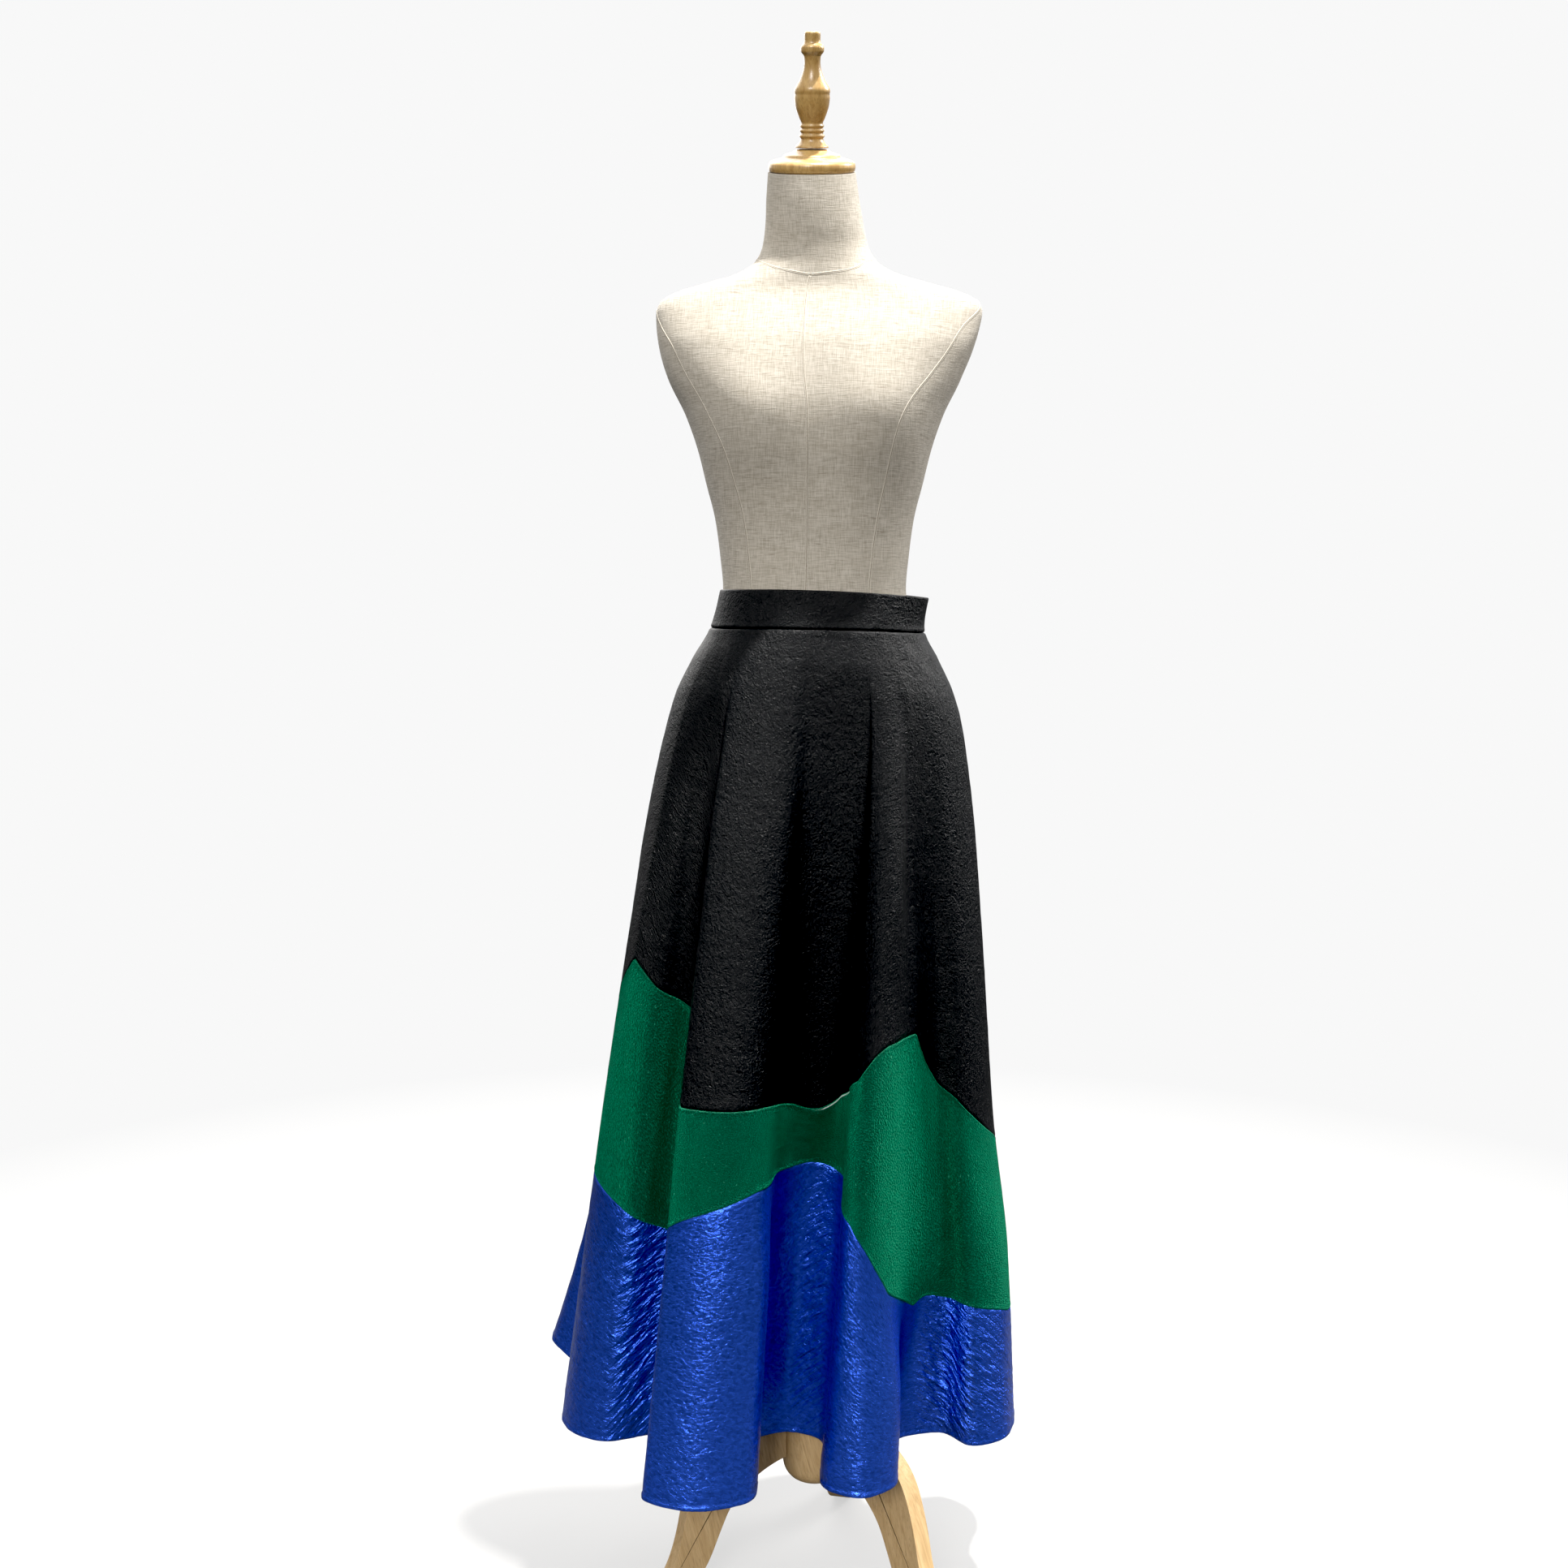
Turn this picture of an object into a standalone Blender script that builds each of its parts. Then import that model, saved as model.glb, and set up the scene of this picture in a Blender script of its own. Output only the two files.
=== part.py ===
"""A flared, colour-blocked skirt with a waistband, on a limbless dress form that stands on a wooden tripod.

Units are metres and +Z is up. The wearer faces -Y. Depths are measured down from the top of the waistband, and
the plan sizes of the skirt and the form are given in centimetres from the axis of the stand.
"""

import math

import bmesh
import bpy
import numpy as np
from mathutils import Matrix, Vector

CM = 0.01
GAP = 0.0003
WAIST_TOP = 1.14
AXIS_X = 0.0401
AXIS_Y = -0.0004

# Cloth
WALL = 0.0015
BAND_WALL = 0.0024
SEAM_GAP = 0.0004
BAND_DEEP = 4.3
BAND_DROP_TOP = 1.0
BAND_DROP_SEAM = 0.6
SLIT_AT = 86.0
SLIT_WIDTH = 0.16
HEM_DEPTH = 94.3
ROUNDNESS = 2.3
HIP_DEPTHS = (8.0, 12.0, 16.0, 21.0, 29.0)
BLACK_ROWS_BELOW_HIPS = 3
GREEN_ROWS = 4
BLUE_ROWS = 5
CREST_STEPS = 2
FLANK_STEPS = 4
# How wide the cloth between two side seams is at the waist, as a share of its width at the hem.
WAIST_SHARE = 0.4
# The band sags over this many degrees to each side of the slit.
SAG_REACH = 110.0
# The flutes grow on a little below the hem, so that the probe for normals reads true there.
GROWN_MOST = 1.05
PROBE = 0.02
SHARP_ANGLE = 50.0

# The skirt with no flutes: half widths to the wearer's right and left, and to the front and back, in cm.
OUTLINE = (
    # depth, right, left, front, back
    (0.0, 10.80, 13.35, 8.60, 8.4),
    (4.4, 12.00, 12.6, 9.30, 9.2),
    (8.0, 14.10, 14.2, 9.95, 10.6),
    (12.0, 16.00, 16.0, 10.5, 11.9),
    (16.0, 17.15, 17.0, 11.0, 12.6),
    (21.0, 18.30, 17.7, 11.7, 13.2),
    (30.0, 20.00, 18.7, 12.8, 14.0),
    (45.0, 22.45, 19.9, 14.2, 15.4),
    (60.0, 24.50, 20.9, 15.3, 16.6),
    (75.0, 26.20, 22.6, 16.2, 17.6),
    (94.3, 28.60, 23.4, 17.0, 18.6),
)

# Each flute and each hollow between two flutes. The middle and facing are at the hem, seen from above: x to the
# wearer's left and out to the front in cm, facing in degrees from the front. Half is half its width, and back is how
# far its two shoulders lie behind its middle. Hip and spread are the same middle and half width on the hips, in
# degrees. It begins at the depth "begins", grows with the power "bend", and its hem hangs "lift" cm higher.
FLUTES = (
    # name, x, out, facing, half, back, hip, spread, begins, bend, lift
    ("flute_back_right", -31.9, -13.8, -112, 3.2, 1.3, -118.0, 9.0, 54.0, 1.45, 3.3),
    ("hollow_right", -26.2, -4.2, -92, 1.9, -0.3, -96.0, 5.0, 30.0, 1.00, 0.6),
    ("flute_right", -27.3, 6.2, -50, 4.2, 1.5, -61.0, 13.0, 12.0, 1.00, 0.3),
    ("hollow_front_right", -14.8, 6.7, -22, 2.6, -0.5, -41.0, 4.0, 12.0, 0.95, 0.0),
    ("flute_front_right", -12.8, 22.5, -3, 5.3, 1.9, -16.5, 13.0, 4.4, 0.95, 0.0),
    ("hollow_centre", -3.1, 5.6, 0, 2.9, -1.1, 9.0, 9.0, 8.4, 1.12, 0.0),
    ("flute_front_left", 4.6, 19.9, 4, 3.2, 1.6, 26.0, 4.5, 8.4, 1.00, 0.0),
    ("hollow_front_left", 11.6, 6.1, 15, 2.5, -0.4, 40.0, 5.0, 12.0, 1.00, 0.0),
    ("flute_left", 20.9, 7.2, 45, 3.9, 1.6, 62.0, 10.0, 14.0, 1.00, 0.0),
    ("hollow_left", 22.2, -3.4, 92, 2.2, -0.4, 84.0, 5.0, 25.0, 1.00, 0.3),
    ("flute_back_left", 23.2, -13.6, 118, 4.4, 1.8, 108.0, 10.0, 18.0, 1.00, 0.4),
    ("hollow_back_left", 12.6, -12.0, 150, 2.3, -0.4, 131.0, 6.0, 12.0, 1.00, 0.0),
    ("flute_back_middle", 4.8, -22.6, 172, 4.2, 1.8, 152.0, 9.0, 9.0, 1.00, 0.3),
    ("hollow_back_middle", -2.8, -12.2, 183, 2.2, -0.6, 172.0, 5.0, 9.0, 1.00, 0.0),
    ("flute_back", -11.6, -22.0, 196, 4.1, 1.7, 193.0, 9.0, 12.0, 1.00, 0.3),
    ("hollow_back_right", -19.6, -11.8, 222, 2.3, -0.3, 214.0, 6.0, 20.0, 1.00, 0.6),
)

# Depths of the seam between black and green, then of the one between green and blue, at each flute's or hollow's
# first shoulder, middle and second shoulder.
SEAMS = (
    # name, black to green x 3, green to blue x 3
    ("flute_back_right", 52.0, 55.0, 55.5, 67.5, 64.5, 63.5),
    ("hollow_right", 54.0, 52.0, 49.0, 63.5, 63.8, 64.6),
    ("flute_right", 44.8, 41.2, 43.8, 65.6, 66.7, 68.8),
    ("hollow_front_right", 45.4, 46.5, 50.0, 71.0, 72.2, 70.5),
    ("flute_front_right", 54.9, 54.9, 54.9, 66.8, 64.6, 63.2),
    ("hollow_centre", 56.2, 57.1, 55.4, 63.4, 63.0, 63.8),
    ("flute_front_left", 52.4, 49.9, 49.0, 67.0, 70.8, 74.6),
    ("hollow_front_left", 48.8, 52.2, 54.6, 78.9, 78.2, 78.5),
    ("flute_left", 56.6, 59.6, 61.6, 78.9, 79.9, 81.2),
    ("hollow_left", 63.0, 64.2, 65.2, 81.6, 81.9, 82.0),
    ("flute_back_left", 66.0, 65.0, 60.5, 81.6, 79.2, 77.0),
    ("hollow_back_left", 54.0, 47.4, 50.0, 77.2, 78.4, 76.0),
    ("flute_back_middle", 53.6, 56.4, 57.6, 70.5, 66.0, 63.8),
    ("hollow_back_middle", 57.8, 56.8, 55.2, 63.4, 63.8, 65.0),
    ("flute_back", 52.4, 49.8, 47.4, 68.0, 71.6, 74.6),
    ("hollow_back_right", 45.6, 43.6, 48.0, 76.2, 77.4, 72.5),
)
# Where the zigzag turns sharply: -1 is the first shoulder and 0 the middle.
UPPER_CORNERS = (
    ("flute_right", 0),
    ("hollow_front_left", -1),
    ("hollow_back_left", 0),
    ("hollow_back_right", 0),
)
LOWER_CORNERS = (
    ("hollow_front_right", 0),
    ("hollow_front_left", -1),
    ("hollow_back_left", 0),
    ("hollow_back_right", 0),
)
SIDE_SEAMS = ("hollow_right", "hollow_left")

# Zip strip in the seam at the wearer's left
ZIP_FROM = 5.4
ZIP_HALF = 0.5
ZIP_THICK = 0.0010
ZIP_BEHIND = 0.0006

# The form: half width, front and back in cm, how square its section is, how far its rim tilts forward, and its
# shift to the wearer's left.
TORSO = (
    # depth, half width, front, back, power, tilt, shift
    (27.0, 14.2, 6.9, 8.6, 2.3, 0.0, 0.0),
    (26.4, 14.8, 7.4, 9.2, 2.3, 0.0, 0.0),
    (24.0, 15.7, 8.3, 10.4, 2.3, 0.0, 0.0),
    (20.0, 16.3, 8.9, 11.4, 2.3, 0.0, 0.0),
    (16.0, 16.3, 9.4, 11.6, 2.3, 0.0, 0.0),
    (12.0, 15.4, 9.5, 11.1, 2.3, 0.0, 0.0),
    (8.0, 13.6, 9.2, 9.9, 2.3, 0.0, 0.0),
    (4.4, 11.65, 8.6, 8.5, 2.3, 0.0, 0.0),
    (0.0, 10.50, 8.05, 7.7, 2.3, 0.0, 0.0),
    (-4.0, 10.85, 8.2, 7.6, 2.3, 0.0, 0.0),
    (-8.0, 11.4, 8.7, 7.8, 2.35, 0.0, 0.0),
    (-12.0, 12.4, 9.3, 8.2, 2.4, 0.0, 0.0),
    (-16.0, 13.4, 9.9, 8.6, 2.45, 0.0, 0.0),
    (-20.0, 14.8, 10.0, 8.9, 2.5, 0.0, 0.0),
    (-24.0, 16.75, 9.6, 9.1, 2.6, 0.0, 0.0),
    (-27.5, 18.0, 8.8, 9.0, 2.6, 0.0, 0.2),
    (-30.0, 18.55, 7.6, 8.6, 2.5, 0.0, 0.4),
    (-31.8, 18.75, 6.5, 8.1, 2.4, 0.0, 0.55),
    (-33.0, 18.3, 5.8, 7.6, 2.3, 0.0, 0.6),
    (-34.0, 16.6, 5.3, 7.2, 2.2, 0.0, 0.5),
    (-35.0, 13.2, 5.1, 6.9, 2.1, 0.0, 0.4),
    (-36.2, 9.3, 5.0, 6.6, 2.0, 0.03, 0.3),
    (-37.6, 7.1, 4.9, 6.3, 2.0, 0.10, 0.2),
    (-39.4, 6.1, 4.9, 6.0, 2.0, 0.16, 0.1),
    (-42.0, 5.65, 5.1, 5.5, 2.0, 0.22, 0.0),
    (-45.0, 5.35, 5.2, 5.2, 2.0, 0.27, -0.2),
    (-48.0, 5.05, 5.1, 5.1, 2.0, 0.30, -0.3),
)
TORSO_AROUND = 44
# The bust: two soft swellings, in cm.
BUST_DEPTH = -19.3
BUST_SIDE = 7.3
BUST_OUT = 2.1
BUST_WIDE = 3.9
BUST_TALL = 4.6

# Cap and finial, turned: radius and height above the neck, in cm.
CAP = (
    # radius, height
    (0.0, 2.6),
    (1.7, 2.6),
    (2.3, 2.2),
    (3.2, 1.95),
    (3.4, 1.6),
    (4.5, 1.35),
    (4.95, 1.05),
    (5.05, 0.5),
    (4.9, 0.05),
    (4.6, 0.0),
    (0.0, 0.0),
)
FINIAL = (
    # radius, height
    (0.0, 15.4),
    (0.80, 15.4),
    (0.92, 15.2),
    (0.90, 14.2),
    (1.32, 13.8),
    (1.34, 13.2),
    (0.96, 12.8),
    (0.90, 12.0),
    (1.02, 11.2),
    (1.40, 10.2),
    (1.98, 9.3),
    (2.06, 8.9),
    (1.98, 8.6),
    (2.04, 8.2),
    (1.92, 7.2),
    (1.50, 6.0),
    (1.20, 5.4),
    (1.42, 5.1),
    (1.20, 4.85),
    (1.45, 4.6),
    (1.22, 4.3),
    (1.50, 4.0),
    (1.25, 3.7),
    (1.45, 3.3),
    (1.85, 2.9),
    (1.95, 2.65),
    (0.0, 2.65),
)
TURN_STEPS = 24
MERGE_AXIS = 0.00005

# Stand
POLE_RADIUS = 0.013
POLE_SIDES = 20
HUB_TOP = 86.0
HUB = (
    # radius, depth
    (0.0, 86.0),
    (3.0, 86.0),
    (3.6, 86.5),
    (3.8, 87.4),
    (3.8, 99.0),
    (3.5, 100.8),
    (2.6, 101.8),
    (0.0, 102.1),
)
LEG_THICK = 0.024
LEG_NAMES = (
    # name, degrees from the front
    ("leg_right", -72.0),
    ("leg_left", 48.0),
    ("leg_back", 168.0),
)
# A leg seen from its side: distance from the axis and depth, in cm, first along its top edge and then back.
LEG_TOP = (
    (2.6, 89.0),
    (6.6, 90.6),
    (10.2, 95.0),
    (13.6, 97.4),
    (15.3, 102.2),
    (16.3, 107.6),
    (17.9, 111.4),
    (20.9, 113.0),
)
LEG_TOE = ((21.6, 113.4), (21.7, 114.0))
LEG_UNDER = (
    (19.2, 114.0),
    (17.0, 113.3),
    (14.6, 111.6),
    (12.9, 109.2),
    (11.6, 106.0),
    (10.2, 102.9),
    (7.4, 100.3),
    (4.6, 98.9),
    (2.6, 98.5),
)
LEG_SMOOTH = 3
# The cutter for the roots of the legs: its length and the depth of its middle.
ROOT_CUT_LONG = 0.4
ROOT_CUT_DEPTH = 0.95

COLOURS = {
    # name: red, green, blue, roughness, metallic
    "black_satin": (0.012, 0.012, 0.014, 0.38, 0.0),
    "green_velvet": (0.004, 0.13, 0.055, 0.85, 0.0),
    "blue_taffeta": (0.020, 0.055, 0.42, 0.40, 0.0),
    "linen": (0.52, 0.49, 0.44, 0.90, 0.0),
    "varnished_wood": (0.56, 0.36, 0.17, 0.40, 0.0),
    "pale_wood": (0.52, 0.36, 0.20, 0.55, 0.0),
    "zip_tape": (0.015, 0.015, 0.017, 0.70, 0.0),
}


def clear_scene():
    for thing in list(bpy.data.objects):
        bpy.data.objects.remove(thing, do_unlink=True)


def material(name):
    red, green, blue, rough, metal = COLOURS[name]
    made = bpy.data.materials.get(name) or bpy.data.materials.new(name)
    made.use_nodes = True
    shader = made.node_tree.nodes["Principled BSDF"]
    shader.inputs["Base Color"].default_value = (red, green, blue, 1.0)
    shader.inputs["Roughness"].default_value = rough
    shader.inputs["Metallic"].default_value = metal
    return made


def add_object(name, mesh, stuff, smooth=True):
    """Puts a mesh in the part's collection with its material."""
    made = bpy.data.objects.new(name, mesh)
    bpy.data.collections["flared_skirt"].objects.link(made)
    mesh.materials.append(material(stuff))
    if smooth:
        mesh.shade_smooth()
        mesh.set_sharp_from_angle(angle=math.radians(SHARP_ANGLE))
    return made


def slopes(knots, values, corners=()):
    """Slopes of a shape-keeping curve through the values. At a corner the curve has one slope on each side."""
    steps = np.diff(knots)
    secants = np.diff(values) / steps
    before = np.zeros(len(values))
    before[1:] = secants
    before[0] = secants[0]
    after = np.zeros(len(values))
    after[:-1] = secants
    after[-1] = secants[-1]
    for i in range(1, len(values) - 1):
        if i in corners:
            continue
        left, right = secants[i - 1], secants[i]
        shared = 0.0
        if left * right > 0:
            near, far = 2 * steps[i] + steps[i - 1], steps[i] + 2 * steps[i - 1]
            shared = (near + far) / (near / left + far / right)
        before[i] = after[i] = shared
    return after, before


def curve_at(knots, values, places, corners=()):
    """The curve through the values, read at the places."""
    after, before = slopes(knots, values, corners)
    cell = np.clip(np.searchsorted(knots, places, side="right") - 1, 0, len(knots) - 2)
    width = knots[cell + 1] - knots[cell]
    t = (places - knots[cell]) / width
    rise = values[cell + 1]
    start = (1 + 2 * t) * (1 - t) ** 2 * values[cell]
    lean = t * (1 - t) ** 2 * width * after[cell]
    return start + lean + t**2 * (3 - 2 * t) * rise + t**2 * (t - 1) * width * before[cell + 1]


def table_column(table, column):
    return np.array([row[column] for row in table], float)


def signed_power(values, power):
    return np.sign(values) * np.abs(values) ** power


class Skirt:
    """The cloth's outer face: a point for each place around it and each depth. Places count the fold points, three
    to a flute or hollow, so a whole number is a shoulder or a middle."""

    def __init__(self):
        points, hips, begins, bends, lifts = [], [], [], [], []
        for _, x, out, facing, half, back, hip, spread, begin, bend, lift in FLUTES:
            turn = math.radians(facing)
            outward = np.array([math.sin(turn), math.cos(turn)])
            along = np.array([math.cos(turn), -math.sin(turn)])
            for side in (-1, 0, 1):
                points.append(np.array([x, out]) + side * half * along - abs(side) * back * outward)
                hips.append(hip + side * spread)
                begins.append(begin)
                bends.append(bend)
                lifts.append(lift)
        self.count = len(points)
        self.hem = np.array(points)
        self.columns = np.column_stack([self.hem, hips, begins, bends, lifts])
        self.knots = np.arange(-self.count, 2 * self.count + 1, dtype=float)
        self.upper = np.array([row[1:4] for row in SEAMS]).ravel()
        self.lower = np.array([row[4:7] for row in SEAMS]).ravel()

    def place_of(self, name, side=0):
        return [row[0] for row in FLUTES].index(name) * 3 + 1 + side

    def fold_values(self, places):
        """Hem x, hem out, hip angle, begin, bend and lift at each place, on one smooth closed curve."""
        wide = np.concatenate([self.columns] * 3 + [self.columns[:1]])
        # Going once round from the first fold point adds a full turn.
        turns = np.repeat([-360.0, 0.0, 360.0, 720.0], [self.count, self.count, self.count, 1])
        wide[:, 2] += turns
        chord = np.linalg.norm(np.diff(wide[:, :2], axis=0), axis=1)
        length = np.concatenate([[0], np.cumsum(chord)])
        tangents = np.zeros_like(wide)
        gap_before = np.diff(length)[:-1, None]
        gap_after = np.diff(length)[1:, None]
        secant_before = (wide[1:-1] - wide[:-2]) / gap_before
        secant_after = (wide[2:] - wide[1:-1]) / gap_after
        tangents[1:-1] = (secant_before * gap_after + secant_after * gap_before) / (gap_before + gap_after)
        cell = np.floor(places).astype(int) + self.count
        t = (places - np.floor(places))[:, None]
        width = (length[cell + 1] - length[cell])[:, None]
        start = (1 + 2 * t) * (1 - t) ** 2 * wide[cell] + t * (1 - t) ** 2 * width * tangents[cell]
        end = t**2 * (3 - 2 * t) * wide[cell + 1] + t**2 * (t - 1) * width * tangents[cell + 1]
        smooth = start + end
        # These four follow straight lines between fold points, so that they never overshoot.
        straight = (1 - t) * wide[cell] + t * wide[cell + 1]
        smooth[:, 2:] = straight[:, 2:]
        return smooth

    def seam_depth(self, depths, corner_names, places):
        values = np.concatenate([depths] * 3 + [depths[:1]])
        corners = {self.place_of(*name) + turn * self.count for name in corner_names for turn in range(3)}
        return curve_at(self.knots, values, places, corners)

    def upper_seam(self, places):
        return self.seam_depth(self.upper, UPPER_CORNERS, places)

    def lower_seam(self, places):
        return self.seam_depth(self.lower, LOWER_CORNERS, places)

    def band_drop(self, places, amount):
        """The band sags towards its ends at the wearer's left."""
        turn = self.fold_values(places)[:, 2] - SLIT_AT
        away = np.clip((turn + 180) % 360 - 180, -SAG_REACH, SAG_REACH)
        near = 0.5 + 0.5 * np.cos(math.pi * away / SAG_REACH)
        return amount * near

    def waist_seam(self, places):
        return BAND_DEEP + self.band_drop(places, BAND_DROP_SEAM)

    def band_top(self, places):
        return self.band_drop(places, BAND_DROP_TOP)

    def hem_line(self, places):
        return HEM_DEPTH - self.fold_values(places)[:, 5]

    def plain(self, angle, depth):
        """The skirt with no flutes, at an angle and a depth."""
        levels = table_column(OUTLINE, 0)
        sizes = [curve_at(levels, table_column(OUTLINE, column), depth) for column in range(1, 5)]
        turn = np.radians(angle)
        across = signed_power(np.sin(turn), 2 / ROUNDNESS)
        forward = signed_power(np.cos(turn), 2 / ROUNDNESS)
        x = np.where(across < 0, sizes[0], sizes[1]) * across
        out = np.where(forward > 0, sizes[2], sizes[3]) * forward
        return x, out

    def point(self, places, depth):
        """World positions of the outer face."""
        fold = self.fold_values(places)
        bottom = HEM_DEPTH - fold[:, 5]
        x, out = self.plain(fold[:, 2], np.clip(depth, 0, HEM_DEPTH))
        hem_x, hem_out = self.plain(fold[:, 2], np.full(len(places), HEM_DEPTH))
        grown = np.clip((depth - fold[:, 3]) / (bottom - fold[:, 3]), 0, GROWN_MOST) ** fold[:, 4]
        x = x + grown * (fold[:, 0] - hem_x)
        out = out + grown * (fold[:, 1] - hem_out)
        return np.column_stack([x * CM + AXIS_X, -out * CM + AXIS_Y, WAIST_TOP - depth * CM])

    def outward(self, places, depth):
        """Unit vectors that point out of the cloth."""
        around = self.point(places + PROBE, depth) - self.point(places - PROBE, depth)
        down = self.point(places, depth + PROBE) - self.point(places, depth - PROBE)
        found = np.cross(down, around)
        return found / np.linalg.norm(found, axis=1)[:, None]


def wall_mesh(name, outer, inner, ring=False):
    """A closed wall between two grids of points with rows from top to bottom."""
    rows, columns = outer.shape[:2]
    shell = bmesh.new()
    faces = [[[shell.verts.new(point) for point in row] for row in side] for side in (outer, inner)]
    last = columns if ring else columns - 1
    for row in range(rows - 1):
        for column in range(last):
            after = (column + 1) % columns
            for side, order in ((0, 1), (1, -1)):
                grid = faces[side]
                corners = (grid[row][column], grid[row + 1][column], grid[row + 1][after], grid[row][after])
                shell.faces.new(corners[::order])
    for column in range(last):
        after = (column + 1) % columns
        out, inn = faces
        # Both rims are split along the same diagonal, so that the edges of two neighbours keep their gap.
        shell.faces.new((out[0][column], out[0][after], inn[0][after]))
        shell.faces.new((out[0][column], inn[0][after], inn[0][column]))
        shell.faces.new((out[-1][after], out[-1][column], inn[-1][after]))
        shell.faces.new((out[-1][column], inn[-1][column], inn[-1][after]))
    if not ring:
        for row in range(rows - 1):
            out, inn = faces
            shell.faces.new((out[row + 1][0], out[row][0], inn[row][0], inn[row + 1][0]))
            shell.faces.new((out[row][-1], out[row + 1][-1], inn[row + 1][-1], inn[row][-1]))
    mesh = bpy.data.meshes.new(name)
    shell.to_mesh(mesh)
    shell.free()
    return mesh


def cloth_wall(skirt, places, depths, thick, sunk=0.0):
    """Outer and inner grids over the places, one row for each list of depths, sunk below the cloth's outer face."""
    outer, inner = [], []
    for depth in depths:
        face = skirt.point(places, depth)
        normal = skirt.outward(places, depth)
        outer.append(face - sunk * normal)
        inner.append(face - (sunk + thick) * normal)
    return np.array(outer), np.array(inner)


def panel_places(skirt, start, end):
    """Places from one side seam to the other, closer together round the flutes, with half a seam gap at each end."""
    places = []
    for place in range(start, end):
        steps = FLANK_STEPS if place % 3 == 2 else CREST_STEPS
        places.extend(place + step / steps for step in range(steps))
    places.append(float(end))
    ends = skirt.fold_values(np.array([places[0], places[0] + 1, places[-1] - 1, places[-1]]))
    first = np.linalg.norm(ends[1, :2] - ends[0, :2]) * CM
    last = np.linalg.norm(ends[3, :2] - ends[2, :2]) * CM
    # The gap is set for the waist, where the cloth is narrowest.
    places[0] += GAP / 2 / (WAIST_SHARE * first)
    places[-1] -= GAP / 2 / (WAIST_SHARE * last)
    return np.array(places)


def build_panels(skirt):
    """Front and back panels of black, green and blue cloth."""
    seam_right = skirt.place_of(SIDE_SEAMS[0])
    seam_left = skirt.place_of(SIDE_SEAMS[1])
    sides = (("front", seam_right, seam_left), ("back", seam_left, seam_right + skirt.count))
    half = SEAM_GAP / 2 / CM
    for side, start, end in sides:
        places = panel_places(skirt, start, end)
        waist = skirt.waist_seam(places) + half
        upper = skirt.upper_seam(places)
        lower = skirt.lower_seam(places)
        hem = skirt.hem_line(places)
        black = [waist] + [np.full(len(places), depth) for depth in HIP_DEPTHS]
        for row in range(1, BLACK_ROWS_BELOW_HIPS + 1):
            share = row / BLACK_ROWS_BELOW_HIPS
            black.append(HIP_DEPTHS[-1] + share * (upper - half - HIP_DEPTHS[-1]))
        green = [upper + half + row / GREEN_ROWS * (lower - upper - 2 * half) for row in range(GREEN_ROWS + 1)]
        blue = [lower + half + row / BLUE_ROWS * (hem - lower - half) for row in range(BLUE_ROWS + 1)]
        for colour, stuff, depths in (
            ("black", "black_satin", black),
            ("green", "green_velvet", green),
            ("blue", "blue_taffeta", blue),
        ):
            name = f"{colour}_{side}"
            outer, inner = cloth_wall(skirt, places, depths, WALL)
            add_object(name, wall_mesh(name, outer, inner), stuff)


def build_waistband(skirt):
    """One strip round the waist, its two ends apart at the slit over the zip."""
    slit = skirt.place_of("hollow_left")
    places = np.concatenate([np.arange(slit, slit + skirt.count, 0.5), [slit + skirt.count]])
    places[0] += SLIT_WIDTH / 2
    places[-1] -= SLIT_WIDTH / 2
    top = skirt.band_top(places)
    seam = skirt.waist_seam(places) - SEAM_GAP / 2 / CM
    depths = [top + share * (seam - top) for share in (0.0, 0.5, 1.0)]
    outer, inner = cloth_wall(skirt, places, depths, BAND_WALL)
    add_object("waistband", wall_mesh("waistband", outer, inner), "black_satin")


def build_zip(skirt):
    """The zip's tape, inside the seam at the wearer's left, a gap behind the cloth."""
    seam = skirt.place_of("hollow_left")
    places = seam + np.array([-ZIP_HALF, 0.0, ZIP_HALF])
    # It has the cloth's own columns and rows, so that its faces lie parallel to the cloth's.
    depths = [np.full(len(places), depth) for depth in (ZIP_FROM,) + HIP_DEPTHS[:-1]]
    outer, inner = cloth_wall(skirt, places, depths, ZIP_THICK, sunk=WALL + ZIP_BEHIND)
    add_object("side_zip", wall_mesh("side_zip", outer, inner), "zip_tape")


def torso_ring(row):
    """One section of the form, from the front round by the wearer's left."""
    depth, half, front, back, power, tilt, shift = row
    ring = []
    for step in range(TORSO_AROUND):
        turn = 2 * math.pi * step / TORSO_AROUND
        across = float(signed_power(math.sin(turn), 2 / power))
        forward = float(signed_power(math.cos(turn), 2 / power))
        x = half * across
        out = (front if forward > 0 else back) * forward
        if forward > 0:
            for side in (-1, 1):
                away = ((x - side * BUST_SIDE) / BUST_WIDE) ** 2 + ((depth - BUST_DEPTH) / BUST_TALL) ** 2
                out += BUST_OUT * math.exp(-away / 2) * min(1.0, 2 * forward)
        level = WAIST_TOP - (depth + tilt * out) * CM
        ring.append(((x + shift) * CM + AXIS_X, -out * CM + AXIS_Y, level))
    return ring


def build_torso():
    body = bmesh.new()
    rings = [[body.verts.new(point) for point in torso_ring(row)] for row in TORSO]
    for low, high in zip(rings, rings[1:]):
        for step in range(TORSO_AROUND):
            after = (step + 1) % TORSO_AROUND
            body.faces.new((low[step], low[after], high[after], high[step]))
    body.faces.new(rings[0][::-1])
    body.faces.new(rings[-1])
    mesh = bpy.data.meshes.new("torso")
    body.to_mesh(mesh)
    body.free()
    add_object("torso", mesh, "linen")


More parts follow.
